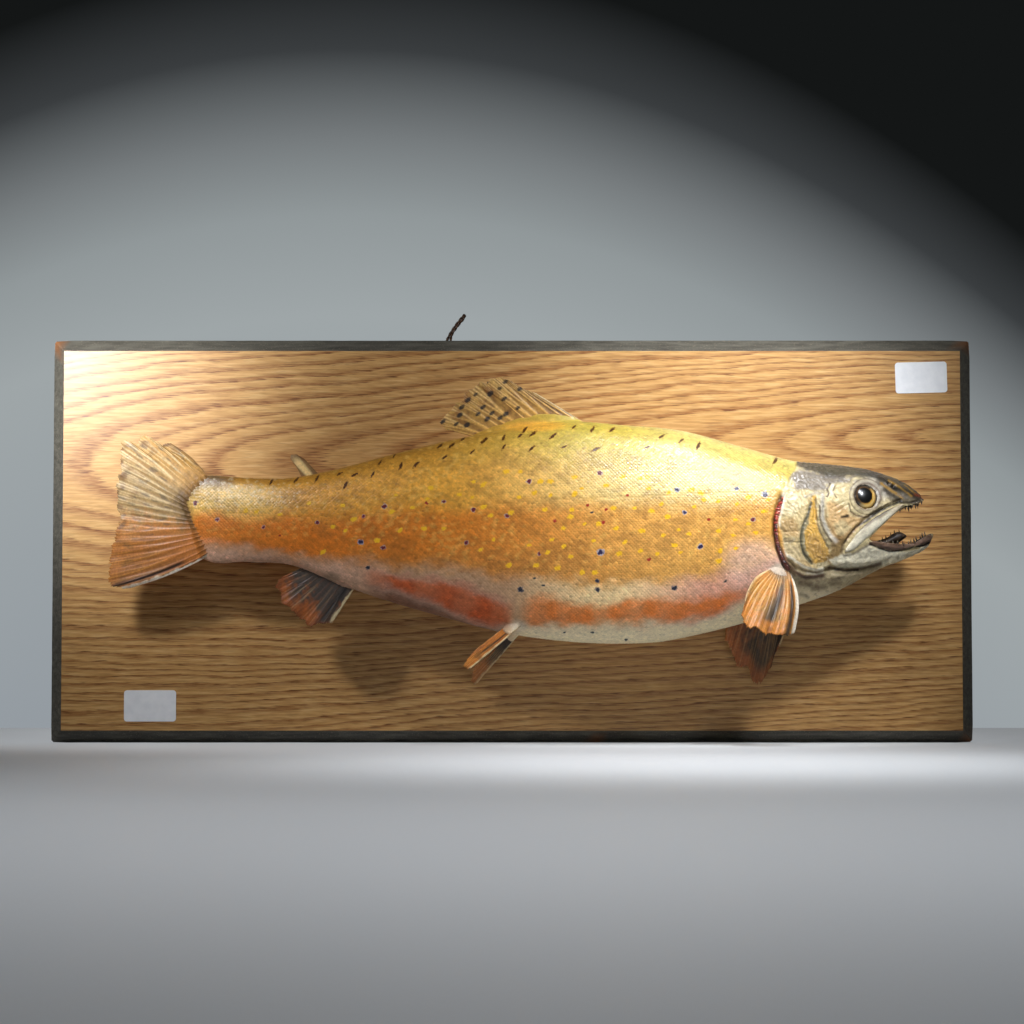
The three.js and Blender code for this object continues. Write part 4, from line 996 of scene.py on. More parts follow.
def makeScales(side, low, high, name, material):
    pitch, rowStep = scaleForm["pitch"], scaleForm["rowStep"]
    columns = np.arange(scaleForm["rearX"], scaleForm["frontX"], pitch / 2)
    angles = np.linspace(-math.pi / 2, math.pi / 2, 361)
    roots = []
    for k, x in enumerate(columns):
        if not low <= x < high:
            continue
        rim = bodyPoint(np.full(len(angles), x), angles, side)
        arc = runAlong(rim)
        arc -= np.interp(0, angles, arc)
        rows = np.arange(math.ceil((arc[0] + 0.5) / rowStep), math.floor((arc[-1] - 0.5) / rowStep) + 1)
        rows = rows[rows % 2 == k % 2]
        s = rows * rowStep
        roots.append(np.stack([np.full(len(s), x), np.interp(s, arc, angles), s], -1))
    x, angle, s = np.concatenate(roots).T
    own = np.random.default_rng(int(high) + 900 + side)
    x = x + own.uniform(-0.12, 0.12, len(x))
    base = bodyPoint(x, angle, side, -fishForm["coatDepth"])
    keep = base[:, 0] < borderAt(base[:, 2]) - 0.4
    keep &= base[:, 0] > -234.5 + 0.009 * (base[:, 2] - 15) ** 2 + own.uniform(-2.5, 2.5, len(x))
    x, angle, s, base = x[keep], angle[keep], s[keep], base[keep]
    # the lie of each scale: towards the tail, across, and out of the body
    bx, _, bz = base.T
    tail = unit(bodyPoint(x - 0.5, angle, side, -fishForm["coatDepth"]) - base)
    turned = np.where(angle > 0, -1, 1)
    across = bodyPoint(x, angle + 0.01 * turned, side, -fishForm["coatDepth"]) - base
    across *= turned[:, None]
    out = np.cross(across, tail) * -side
    fromMiddle = base - np.stack([bx, middle(bx), (back(bx) + belly(bx)) / 2], -1)
    out = unit(out * np.sign(np.sum(out * fromMiddle, axis=1))[:, None])
    across = np.cross(tail, out)
    base = base + out * bodyRelief(bx, bz)[:, None]
    bx, _, bz = base.T
    shape = np.array(scaleForm["edge"] + [scaleForm["crown"]], float)
    size = own.uniform(0.93, 1.07, len(base))[:, None, None]
    tilt = own.uniform(-0.07, 0.07, (len(base), 2))
    local = shape[None] * size
    height = local[..., 2] + tilt[:, :1] * local[..., 0] + tilt[:, 1:] * local[..., 1]
    points = (base[:, None] + tail[:, None] * local[..., :1] + across[:, None] * local[..., 1:2]
              + out[:, None] * height[..., None])
    edgeCount = len(scaleForm["edge"])
    e = np.arange(edgeCount)
    top = np.stack([e, (e + 1) % edgeCount, np.full(edgeCount, edgeCount)], -1)
    under = np.stack([np.zeros(edgeCount - 2, int), e[2:], e[1:-1]], -1)
    pattern = np.concatenate([under, top])
    if side == near:
        pattern = pattern[:, ::-1]
    faces = (pattern[None] + np.arange(len(base))[:, None, None] * len(shape)).reshape(-1, 3)
    obj = meshPiece(name, points.reshape(-1, 3), [faces], smooth=False)
    # colour: the flank's paint, a little paler on the crown and darker at the edges where the next scale
    # starts, painted highlight and shade on each scale
    paint = paintAt(points.reshape(-1, 3)).reshape(len(base), len(shape), 3)
    tint = own.normal(1, 0.07, (len(base), 1, 1))
    rim = np.array([0.96, 0.97, 0.99, 0.97, 0.97, 0.99, 0.97, 1.02])[None, :, None]
    worn = (own.random(len(base)) < 0.09 + 0.1 * mottle(base, 9, 41)) * (bz > belly(bx) + 26)
    paint = blend(paint, linear("#7a4a1f"), 0.22 * worn[:, None] * np.ones(len(shape)))
    paint = np.clip(paint * tint * rim, 0, 1)
    # painted highlights: pale flecks on the tips of some of the stem's scales, standing in for glints of light
    # on them
    paintedGlint = own.random(len(base)) < 0.45 * ease(-135, -190, bx) * ease(-3, 7, bz - 22) * ease(46, 36, bz)
    tip = np.array([1, 0.7, 0, 0, 0, 0, 0.7, 0.5])
    paint = blend(paint, linear("#ffeec4"), 0.34 * paintedGlint[:, None] * tip)
    paint[np.abs(bz - through(flankLines["lateral"])(bx)) < 0.7] *= 0.86
    setAttribute(obj, "paint", "FLOAT_COLOR", "POINT", paint.reshape(-1, 3))
    markFaces(obj, np.repeat(base, len(pattern), axis=0))
    setAttribute(obj, "gloss", "FLOAT", "POINT", np.repeat(glossAt(base), len(shape)))
    # the flat map: each scale's patch lies where its root lies on the opened-out flank
    middleU = 0.02 + 0.96 * (x - low + 4) / (high - low + 8)
    middleV = 0.5 + s / 260
    patch = scaleForm["patch"] / 4.0
    flat = np.stack([middleU, middleV], -1)[:, None] + local[..., :2] * patch
    layer = obj.data.uv_layers.new(name="OFBake")
    layer.data.foreach_set("uv", flat.reshape(-1, 2)[faces.ravel()].astype(np.float32).ravel())
    print("scales", name, len(base), "of", len(faces), "faces")
    return addPiece(obj, material=material)


finPaint = {
    "cream": "#e2cd9c", "white": "#e9e1cd", "ink": "#1b1a1a", "ochre": "#e2ae55", "brown": "#744e26",
    "olive": "#b09463", "tan": "#d3a96c", "rust": "#ad5a1e", "orange": "#d68434", "grey": "#7c6a52",
    "deep": "#7c3f17", "dark": "#3b2c1c", "amber": "#dba24c", "smoke": "#4b4740", "plum": "#5f4238",
}
dorsalDashes = [(-13, 117), (-5, 112.6), (-18.6, 112.6), (-8.6, 108.3), (5.7, 107.6), (-25.8, 104),
    (-15.8, 104), (-5.7, 100.4), (-31.5, 99.7), (-20.8, 94.6), (4.3, 93.9), (-35.8, 94.6), (-43, 96.8),
    (-24.4, 89.6), (-14.3, 90.3), (-4.3, 89.6), (-47.3, 91), (-37.3, 88.9), (-17.9, 86), (-8.6, 86.7),
    (-49.4, 84.6), (-40.1, 82.4), (-32.2, 81.7)]


def finColour(name, u, v, points, ridge, tint):
    # u runs from the leading edge (0) across the rays, v from root (0) to tip (1); ridge is 1 on a ray
    # and 0 between rays, and tint is each ray's own shade
    tone = {key: np.array(linear(code)) for key, code in finPaint.items()}
    u, v, ridge, tint = (np.broadcast_to(a, points.shape[:-1]).ravel() for a in (u, v, ridge, tint))
    spots = points.reshape(-1, 3)
    wash = mottle(spots, 9, 31) * 0.5 + mottle(spots, 2.5, 32) * 0.5
    patch = mottle(spots, 5, 33)
    streak = mottle(np.stack([u * 130, np.zeros(len(u)), v * 26], -1), 2.6, 34)

    def stripe(at, half):
        return np.exp(-((u - at) / half) ** 2)

    if name == "dorsal_fin":
        dash = np.zeros(len(u))
        for px, pz in dorsalDashes:
            dx, dz = spots[:, 0] - px, spots[:, 2] - pz
            off = ((dx * 0.6 - dz * 0.8) / 1.5) ** 2 + ((dx * 0.8 + dz * 0.6) / 2.6) ** 2
            dash = np.maximum(dash, np.exp(-off))
        layers = [("ochre", 1), ("brown", (0.35 + 0.5 * tint) * (1 - ridge) + 0.3 * wash),
                  ("cream", 0.4 * ridge * ease(0.2, 0.9, v) * tint),
                  ("deep", 0.5 * ease(0.3, 1.0, patch) * ease(0.5, 0.9, v)),
                  ("grey", 0.5 * ease(0.3, 0.05, u) * (1 - ridge)),
                  ("ink", 0.92 * ease(0.35, 0.6, dash + 0.12 * patch)), ("cream", 0.7 * stripe(0.0, 0.02)),
                  ("tan", 0.9 * ease(0.2, 0.08, v))]
    elif name == "caudal_fin":
        layers = [("tan", 1), ("amber", 0.75 * ease(0.35, 0.08, u)),
                  ("olive", 0.75 * ease(0.25, 0.4, u + 0.05 * wash) * ease(0.75, 0.6, u)),
                  ("orange", 0.8 * ease(0.54, 0.68, u + 0.05 * wash)),
                  ("rust", 0.5 * ease(0.62, 0.8, u + 0.06 * wash)),
                  ("brown", 0.6 * (1 - ridge) * ease(0.1, 0.4, v) * tint),
                  ("brown", 0.5 * ease(0.2, 0.9, patch) * ease(0.45, 0.8, v)),
                  ("smoke", 0.55 * ease(0.4, 1.2, streak + 0.4 * wash) * ease(0.15, 0.3, v)
                   * ease(0.9, 0.6, u)),
                  ("brown", 0.5 * ease(0.34, 0.05, v + 0.06 * wash) * ease(0.8, 0.5, u)),
                  ("dark", 0.6 * ease(0.9, 1.0, v + 0.05 * wash) * ease(-0.2, 0.6, wash)
                   * ease(0.8, 0.6, u)),
                  # partly painted highlight: cream along the rays of the upper lobe, their own paler colour
                  # brightened for the light that catches them
                  ("cream", 0.85 * ridge * tint * ease(0.15, 0.4, v) * ease(0.72, 0.3, u)),
                  ("brown", 0.8 * ease(0.0, 0.9, patch) * ease(0.82, 0.95, v + 0.04 * wash)
                   * ease(0.7, 0.5, u)),
                  ("dark", 0.6 * ease(0.28, 0.02, v + 0.06 * wash) * ease(0.2, 0.35, u)
                   * ease(0.75, 0.6, u)),
                  ("amber", 0.35 * ridge * tint * ease(0.3, 0.5, v) * ease(0.6, 0.8, u)),
                  ("ink", 0.95 * stripe(0.945, 0.018) * ease(0.15, 0.3, v)),
                  ("white", 0.8 * ease(0.972, 0.99, u + 0.012 * wash)), ("brown", 0.6 * ease(0.03, 0.0, u)),
                  ("brown", 0.5 * ease(0.06, -0.02, v))]
    elif name == "anal_fin":
        layers = [("plum", 1), ("dark", 0.45 + 0.4 * wash),
                  ("rust", 0.85 * ease(0.62, 0.9, v + 0.1 * wash) * ease(0.1, 0.25, u)),
                  ("smoke", 0.7 * (1 - ridge) * ease(0.9, 0.6, v)),
                  ("cream", 0.3 * ridge * tint * tint * ease(0.1, 0.4, v)),
                  ("rust", 0.4 * ease(0.0, 0.8, wash) * ease(0.2, 0.5, v)),
                  ("cream", 0.4 * ease(0.9, 1.0, u) * ease(0.4, 0.0, v)),
                  ("ink", 0.95 * stripe(0.13, 0.05) * ease(0.05, 0.2, v)),
                  ("cream", 0.8 * ease(0.045, 0.015, u + 0.02 * wash)), ("deep", 0.6 * ease(0.92, 1.0, v))]
    elif name == "pelvic_fin_near":
        layers = [("orange", 1), ("deep", 0.5 * (1 - ridge) + 0.3 * wash), ("amber", 0.6 * ridge * tint),
                  ("brown", 0.7 * ease(0.25, 0.0, v)),
                  ("ink", 0.9 * stripe(0.26, 0.09) * ease(0.9, 0.6, v)),
                  ("cream", 0.75 * ease(0.10, 0.04, u + 0.04 * wash)),
                  ("cream", 0.6 * ease(0.9, 1.0, u + 0.05 * wash)), ("brown", 0.6 * ease(0.2, 1.0, patch)),
                  ("grey", 0.85 * ease(0.22, 0.08, v + 0.05 * wash))]
    elif name == "pelvic_fin_far":
        # painted shade: the far pelvic fin lies in the body's shadow and is laid down nearly black, far darker
        # than the near one; its rust tip and cream edge are its own colour
        layers = [("ink", 1), ("dark", 0.5 + 0.4 * wash), ("rust", 0.95 * ease(0.6, 0.8, v)),
                  ("cream", 0.6 * ease(0.08, 0.03, u + 0.04 * wash)),
                  ("tan", 0.5 * ridge * ease(0.3, 0.6, v))]
    elif name == "pectoral_fin_near":
        wedge = stripe(0.3 + 0.17 * v, 0.07 + 0.06 * v) * ease(0.05, 0.3, v)
        layers = [("amber", 1), ("orange", 0.4 + 0.4 * wash),
                  ("deep", (0.05 + 0.25 * tint) * (1 - ridge) + 0.5 * ease(0.4, 1.3, streak)),
                  ("cream", 0.45 * ridge * tint * tint * ease(1.0, 0.6, v)),
                  ("smoke", 0.9 * wedge * ease(0.98, 0.8, v + 0.05 * wash)),
                  ("ink", 0.8 * stripe(0.28 + 0.14 * v, 0.03) * ease(0.3, 0.5, v) * ease(0.97, 0.8, v)),
                  ("orange", 0.6 * ease(0.7, 0.9, v + 0.06 * wash) * ease(0.12, 0.2, u)),
                  ("deep", 0.6 * ease(0.2, 0.8, patch) * ease(0.8, 0.92, v) * ease(0.1, 0.2, u)),
                  ("ink", 0.95 * stripe(0.13, 0.045) * ease(0.1, 0.25, v)),
                  ("white", 0.85 * ease(0.075, 0.045, u)), ("cream", 0.7 * ease(0.9, 1.0, u)),
                  ("grey", 0.75 * ease(0.2, 0.05, v + 0.05 * wash))]
    else:
        # painted shade: the far pectoral fin lies in the body's shadow and is laid down dark brown, far darker
        # than the near one; its rust, stripes and cream edge are its own colour
        layers = [("dark", 1), ("brown", 0.15 + 0.3 * wash),
                  ("rust", 0.6 * ease(0.5, 0.85, u + 0.1 * wash)), ("rust", 0.7 * ease(0.8, 0.95, v)),
                  ("smoke", 0.6 * stripe(0.5, 0.14) * ease(0.7, 0.4, v)), ("tan", 0.35 * ridge * tint),
                  ("ink", 0.95 * stripe(0.13, 0.05)), ("cream", 0.7 * ease(0.05, 0.02, u))]
    # cross joints of the soft rays, and each ray's own shade
    joints = 0.5 + 0.5 * np.sin(v * 95 + 4 * patch)
    layers.append(("brown", 0.28 * ridge * joints * ease(0.35, 0.6, v)))
    colour = laid(np.ones((len(u), 3)), tone, layers)
    return np.clip(colour * (0.84 + 0.24 * tint + 0.12 * wash)[:, None], 0, 1)


def rayPattern(u, v, rays, own):
    # 1 on a ray and 0 between: every ray forks twice on its way out, and no two fork alike
    place = u * rays
    place = place + 0.12 * np.sin(place * 1.7 + own.uniform(0, 6))
    which = np.clip(np.floor(place).astype(int), 0, rays - 1)
    offset = (place - which - 0.5)[:, None] + (own.uniform(-0.06, 0.06, rays)[which])[:, None]
    begin = own.uniform(0.15, 0.4, rays)[which][:, None]
    first = 0.25 * ease(begin, begin + 0.5, v[None, :])
    second = 0.12 * ease(begin + 0.3, begin + 0.65, v[None, :])
    width = 0.17 - 0.105 * ease(0.1, 0.85, v)[None, :]
    ridge = np.zeros((len(u), len(v)))
    for a in (-1, 1):
        for b in (-1, 1):
            ridge = np.maximum(ridge, np.exp(-((offset - a * first - b * second) / width) ** 2))
    # one shade for each branch
    branch = np.clip(np.floor(place * 4).astype(int), 0, rays * 4 - 1)
    tint = own.uniform(0.1, 1.0, rays * 4)[branch][:, None] * ease(0.1, 0.6, v)[None, :]
    tint = tint + own.uniform(0.3, 1.0, rays)[which][:, None] * ease(0.6, 0.1, v)[None, :]
    return place, ridge, tint


def makeFin(name, material):
    form = finForms[name]
    rays = form["rays"]
    across, along = rays * 16, 60
    u = np.linspace(0, 1, across)
    v = np.linspace(-0.16 if name == "caudal_fin" else -0.03, 1, along)
    own = np.random.default_rng(len(name) + 3)
    place, ridge, tint = rayPattern(u, v, rays, own)
    # the web between the branches wears back, and some rays have broken short
    ragged = np.interp(place * 2.3, np.arange(rays * 3 + 2), own.uniform(0, 1, rays * 3 + 2))
    broken = np.interp(place * 0.9, np.arange(rays + 2), own.uniform(0, 1, rays + 2) ** 3)
    nibbled = np.interp(place * 5.1, np.arange(rays * 6 + 2), own.uniform(0, 1, rays * 6 + 2) ** 2)
    reach = 1 - 0.04 * ragged - 0.05 * broken - 0.03 * nibbled - 0.02 * (1 - ridge[:, -1])
    sheet = finSheet(form, u, v)
    start = pointsOn(form["root"], u)[:, None]
    sheet = np.where(v[None, :, None] > 0, start + (sheet - start) * reach[:, None, None], sheet)
    normal = sheetNormals(sheet)
    wave = (form["curl"] * np.sin(place[:, None] * 1.3 + 2.2 * v[None, :] + own.uniform(0, 6))
            * ease(0.15, 0.9, v)[None, :])
    crumple = 0.5 * mottle(sheet.reshape(-1, 3), 6, 35).reshape(across, along) * ease(0.5, 1.0, v)[None, :]
    folds = 0.3 * np.sin(place[:, None] * 2 * math.pi + 0.8) * ease(0.1, 0.5, v)[None, :]
    sheet = sheet + normal * (0.5 * wave + 0.4 * crumple + 0.5 * folds)[..., None]
    rim = np.minimum(u, 1 - u)[:, None] * 30
    rootThick = form["rootThick"] - 0.4
    thick = 0.42 + (rootThick - 0.5) * ease(0.5, 0.0, v)[None, :] ** 1.5 * ease(0, 2, rim)
    thick = thick + 0.5 * ridge * (1 - 0.55 * np.clip(v, 0, 1))[None, :] * ease(0, 0.6, rim)
    thick = thick + 0.4 * ease(1.2, 0.0, u * 30)[:, None]
    if name == "caudal_fin":
        # the rays' feet lie over the end of the stem
        over = flankDepth(sheet[..., 0], sheet[..., 2]) + 0.3 + 0.7 * ridge - 2.4 * ease(0.0, -0.12, v)[None, :]
        thick = np.maximum(thick, 2 * over * (sheet[..., 0] > -239))
    obj = addForms(name + "_rays", thickSheet(sheet, thick))
    colour = finColour(name, u[:, None], np.clip(v, 0, 1)[None, :], sheet, ridge, tint)
    setAttribute(obj, "paint", "FLOAT_COLOR", "POINT", np.tile(colour, (2, 1)))
    return addPiece(obj, [name], material)


def makeAdipose(material):
    # a small fleshy lobe, cream with a rusty tip
    form = adiposeForm
    u, v = np.linspace(0, 1, 30), np.linspace(-0.1, 1, 24)
    sheet = finSheet(form, u, v)
    taper = (np.sqrt(np.clip(1 - (2 * u - 1) ** 4, 0, 1))[:, None]
             * np.sqrt(np.clip(1.001 - v ** 6, 0, 1))[None, :])
    thick = (form["rootThick"] - (form["rootThick"] - form["edgeThick"]) * v)[None, :] * np.maximum(taper, 0.15)
    obj = addForms("adipose_lobe", thickSheet(sheet, thick))
    colour = blend(np.ones((len(u) * len(v), 3)) * linear("#f2cc86"), linear("#6b4423"),
                   0.8 * np.broadcast_to(ease(0.6, 0.95, v)[None, :], (len(u), len(v))).ravel())
    edge = np.broadcast_to(ease(0.42, 0.2, np.minimum(u, 1 - u))[:, None], (len(u), len(v))).ravel()
    colour = blend(colour, linear("#6b4423"), 0.85 * edge)
    setAttribute(obj, "paint", "FLOAT_COLOR", "POINT", np.tile(colour, (2, 1)))
    return addPiece(obj, ["adipose_fin"], material)


# Dried fin membrane, painted and varnished: papery, with a thin gloss that catches on each ray.
def driedFin():
    material, tree, shader, place = newMaterial("dried fin", Roughness=0.55, IOR=1.4, Coat_Weight=0.15,
                                                Coat_Roughness=0.25)
    colour = addNode(tree, "Attribute", attribute_name="paint").outputs["Color"]
    mottled = addNode(tree, "TexNoise", {"Vector": place, "Scale": perMetre(1.538), "Detail": 4.0})
    light = addNode(tree, "MapRange", {"Value": mottled, "To Min": 0.55, "To Max": 1.45})
    colour = addNode(tree, "VectorMath", {0: colour, 1: light}, operation="MULTIPLY")
    bump = addNode(tree, "Bump", {"Height": mottled, "Distance": 0.25 * mm, "Strength": 0.7})
    plug(tree, shader, {"Base Color": colour, "Normal": bump})
    return material


eyeForm = {
    "pupil": (5.1, 5.7), "pupilShift": (-1.5, 0.5),   # an upright oval that sits a little back and up
}


def makeEye(side, material):
    centre, axes = eyeSeat(side)
    lens = eyeLens(side, 0, 40, 72)
    obj = addForms("eyeball_" + flankName[side], lens)
    forward, _, up = ((lens[0] - centre) @ axes.T).T
    shift = eyeForm["pupilShift"]
    setAttribute(obj, "eyePlace", "FLOAT_VECTOR", "POINT",
                 np.stack([forward - shift[0], np.zeros(len(up)), up - shift[1]], -1))
    return addPiece(obj, ["eye_" + flankName[side]], material)


# A taxidermist's glass eye: a black pupil, and an iris that is gold in front and below but brown behind
# and above, painted behind a clear dome whose polish has gone a little soft.
def glassEye():
    material, tree, shader, _ = newMaterial("glass eye", Roughness=0.3, IOR=1.5, Coat_Weight=1.0,
                                                Coat_Roughness=0.09)
    flat = addNode(tree, "Attribute", attribute_name="eyePlace").outputs["Vector"]
    wide, high = eyeForm["pupil"]
    oval = addNode(tree, "VectorMath", {0: flat, 1: (1 / wide, 1, 1 / high)}, operation="MULTIPLY")
    ring = addNode(tree, "VectorMath", {0: oval}, operation="LENGTH").outputs["Value"]
    facing = addNode(tree, "VectorMath", {0: flat, 1: (0.80, 0, -0.60)}, operation="DOT_PRODUCT")
    lit = addNode(tree, "MapRange", {"Value": facing.outputs["Value"], "From Min": 0.0, "From Max": 4.5})
    # fibres about 1.1 mm apart, on a map that is in mm
    fibre = addNode(tree, "TexNoise", {"Vector": flat, "Scale": 0.9, "Detail": 4.0})
    part = addNode(tree, "Math", {0: ring, 1: 0.5}, operation="MULTIPLY")
    part = addNode(tree, "Math", {0: fibre, 1: 0.06, 2: part}, operation="MULTIPLY_ADD")
    golden = addNode(tree, "ValToRGB", {"Fac": part}, [
        (0.0, "#060606"), (0.52, "#080706"), (0.55, "#6b4a1c"), (0.59, "#d9a648"), (0.72, "#e8c47a"),
        (0.82, "#b98a3c"), (0.9, "#4b3418"), (0.96, "#1c1510")])
    dusky = addNode(tree, "ValToRGB", {"Fac": part}, [
        (0.0, "#060606"), (0.52, "#080706"), (0.56, "#5b4122"), (0.66, "#33261a"), (0.8, "#1d1712")])
    colour = addNode(tree, "Mix", {"Factor": lit, 6: dusky, 7: golden}, data_type="RGBA")
    plug(tree, shader, {"Base Color": colour.outputs[2]})
    return material


def flankStrip(name, side, line, halfWidths, lifts, thick):
    # a bone that lies along a line on the flank, rounded over, with its ends closed
    pts = np.array(line, float)
    steps = runAlong(pts)
    t = np.linspace(0, 1, 48)
    x, z = (through(list(zip(steps / steps[-1], pts[:, k])))(t) for k in (0, 1))
    half = np.interp(t, np.linspace(0, 1, len(halfWidths)), halfWidths)
    half = half * np.sqrt(np.clip(1 - np.abs(2 * t - 1) ** 8, 0.03, 1))
    lift = np.interp(t, np.linspace(0, 1, len(lifts)), lifts)
    dx, dz = np.gradient(x), np.gradient(z)
    run = np.hypot(dx, dz)
    nx, nz = -dz / run, dx / run
    rings = []
    a = roundAngles(16)
    for i in range(len(t)):
        w = np.cos(a) * half[i]
        place = onFlank(x[i] + nx[i] * w, z[i] + nz[i] * w, side)
        place[:, 1] += side * (lift[i] + np.sin(a) * thick / 2)
        rings.append(place)
    return addForms(name, loft(rings))


# The long upper jawbone, broad and rounded at its rear end: its line, and sizes from front to rear.
boneForm = {
    "line": [(277.5, 24), (266, 16.6), (255, 8.6), (246.5, 1), (239.6, -6.4), (234.8, -10)],
    "halfWidths": [1.6, 2.6, 3.6, 4.0, 3.4, 2.4], "lifts": [-0.9, -0.5, -0.3, -0.2, -0.2, -0.3], "thick": 2.4,
}
# Brushed lines on it: colour, half width in mm, strength and line.
boneStrokes = [
    ("#2a1c10", 1.3, 0.95, [(278, 27), (266, 19.6), (254, 12.4), (245.6, 6), (239, 0), (233.6, -5)]),
    ("#7d6040", 0.5, 0.7, [(243.5, 4.5), (250, 8.4), (256, 12), (265, 17)]),
    ("#6f5638", 0.6, 0.6, [(279, 22), (266, 11.8), (259, 6), (252.5, 0.2), (246, -5)]),
    ("#8a7152", 0.5, 0.5, [(238, -3), (244, 1.4), (252, 7)]),
    ("#8f7a58", 0.8, 0.5, [(240, -9.6), (234, -11.6), (231.6, -8.4)]),
]


def makeJawbones(material):
    for side in (near, far):
        bone = flankStrip("maxilla_" + flankName[side], side, boneForm["line"], boneForm["halfWidths"],
                          boneForm["lifts"], boneForm["thick"])
        points = meshPoints(bone.data)
        tone = 1 + 0.10 * mottle(points, 3, 51) + 0.08 * mottle(points, 1.2, 52)
        colour = np.ones((len(points), 3)) * linear("#f2e8cc") * tone[:, None]
        bx, bz = points[:, 0], points[:, 2]
        for code, width, strength, line in boneStrokes:
            colour = blend(colour, linear(code), strength * np.exp(-(lineDistance(bx, bz, line) / width) ** 2))
        colour = blend(colour, linear("#b09060"), 0.5 * ease(262, 276, bx))
        setAttribute(bone, "paint", "FLOAT_COLOR", "POINT", np.clip(colour, 0, 1))
        addPiece(bone, ["upper_jawbone_" + flankName[side]], material)


# The jaw's skin, gone hard over bone: cream with brown in the creases.
def hornySkin():
    return varnishedPaint("horny jaw skin", 1.6, 0.22, withMarks=False)


def cone(base, tip, radius):
    # a tooth that bends back a little on its way up
    base, tip = np.array(base, float), np.array(tip, float)
    t = np.linspace(0, 1, 5)[:, None]
    bend = np.array([-0.35, 0, 0]) * np.sin(t * math.pi)
    return tube(base + (tip - base) * t + bend, np.array([1, 0.86, 0.66, 0.4, 0.08]) * radius, 8)


def makeTeeth(material):
    # small pointed teeth on both rims, leaning back, with no two quite alike
    own = np.random.default_rng(8)
    forms = []
    for side in (near, far):
        for k in range(9):
            x = 262 + k * 4.1 + own.uniform(-0.5, 0.5)
            y = middle(x) + side * (wide(x) - 2.6) * 0.93
            rim = -4.2 + max(k - 5, 0) * 2.2
            forms.append(cone((x, y, rim - 1.4), (x - 0.7, y, rim + own.uniform(2.0, 3.2)), 0.8))
        for k in range(9):
            x = 275.6 + k * 2.0 + own.uniform(-0.5, 0.5)
            y = middle(x) + side * (wide(x) - 1.8) * 0.94
            rim = through([(270, 16.3), (278.7, 22.7), (285.8, 23.5), (292, 25.8), (300, 29)])(x)
            forms.append(cone((x, y, rim + 2), (x - 0.5, y, rim - own.uniform(2.0, 3.8)),
                              own.uniform(0.8, 1.1)))
    return addPiece(addForms("teeth", *forms), material=material)


# Old tooth and bone: translucent cream that has browned towards the root.
def agedTooth():
    return mottledMaterial("aged tooth", [(0.3, "#1d1612"), (0.5, "#4d3e30"), (0.72, "#a59678")], 2.0, 2.0,
                           Roughness=0.35, IOR=1.54)


def makeTongue(material):
    x = np.array([232, 236, 240, 245, 250, 255, 260, 264, 268, 272, 275, 277.5, 279.5, 280.8, 281.5])
    side = through([(232, 4), (240, 6), (250, 7), (260, 7), (268, 6.4), (275, 5.4), (279.5, 4),
                    (281.5, 1.5)])(x)
    tongueTop = through([(232, -5), (255, -2.6), (264, -0.2), (269, 1.6), (273, 4.6), (277, 5.2), (281.5, 2.6)])
    top = tongueTop(x)
    low = through([(232, -8), (255, -7.5), (272, -5), (281.5, 1)])(x)
    a = roundAngles(32)
    dent = -0.5 * np.exp(-((np.cos(a)) / 0.25) ** 2) * (np.sin(a) > 0)
    rings = np.stack(np.broadcast_arrays(
        x[:, None], middle(x)[:, None] + side[:, None] * np.cos(a),
        (top + low)[:, None] / 2 + (top - low)[:, None] / 2 * np.sin(a) + dent), -1)
    forms = [loft(rings)]
    for k in range(5):
        at = 265 + k * 3.0
        y = middle(at) + (1.6 if k % 2 else -1.6)
        root = float(tongueTop(at))
        forms.append(cone((at, y, root - 1.5), (at - 0.8, y, root + 1.6), 0.65))
    return addPiece(addForms("tongue_flesh", *forms), ["tongue"], material)


# Dried mouth lining: nearly black brown, hard and half glossy.
def driedMouth():
    return mottledMaterial("dried mouth", [(0.3, "#1d1612"), (0.55, "#3d2f24"), (0.75, "#6b543c")], 3.33, 5.0,
                           bump=0.5, Roughness=0.5, IOR=1.45, Coat_Weight=0.1, Coat_Roughness=0.25)


def makeGills(material):
    # a red fringe that shows in the slit behind each gill cover
    own = np.random.default_rng(17)
    slit = smoothPath([(190.4, 0, 28), (187.2, 0, 21), (184.9, 0, 12), (184.6, 0, 2), (186, 0, -7),
                       (189.6, 0, -16), (194.5, 0, -23.4)], 60)
    for side in (near, far):
        forms = []
        for x, _, z in slit:
            # longest where the slit gapes, near its upper end
            gape = 0.3 + 1.15 * math.exp(-((z - 18) / 7) ** 2)
            reach = own.uniform(0.5, 2.1) * gape
            start = onFlank(x + 3.6, z, side, -0.9)
            bend = onFlank(x + 1.0, z + own.uniform(-0.9, 0.9), side, -0.9 + 0.75 * gape)
            end = onFlank(x - reach, z + own.uniform(-0.9, 0.4), side, -0.6 + 0.5 * gape * own.random())
            forms.append(tube(smoothPath([start, bend, end], 6),
                              np.array([0.5, 0.6, 0.66, 0.62, 0.5, 0.16]) * own.uniform(0.7, 1.3), 6))
        fringe = addForms("gill_fringe_" + flankName[side], *forms)
        addPiece(fringe, ["gills_" + flankName[side]], material)


# Painted gill filaments: blood red lacquer, wet looking.
def redGill():
    material, tree, shader, place = newMaterial("red gill lacquer", Roughness=0.3, IOR=1.5, Coat_Weight=0.5)
    patch = addNode(tree, "TexNoise", {"Vector": place, "Scale": perMetre(2.63), "Detail": 2.0})
    ramp = addNode(tree, "ValToRGB", {"Fac": patch}, [(0.35, "#431410"), (0.52, "#a32d1c"), (0.72, "#d8603c")])
    # painted shade: darker below, where the cover lies close over the fringe
    height = addNode(tree, "SeparateXYZ", {0: place}).outputs[2]
    low = addNode(tree, "MapRange",
                  {"Value": height, "From Min": -6 * mm, "From Max": 9 * mm, "To Min": 0.8, "To Max": 0.0})
    colour = addNode(tree, "Mix", {"Factor": low, 6: ramp, 7: "#3a120c"}, data_type="RGBA")
    plug(tree, shader, {"Base Color": colour.outputs[2]})
    return material


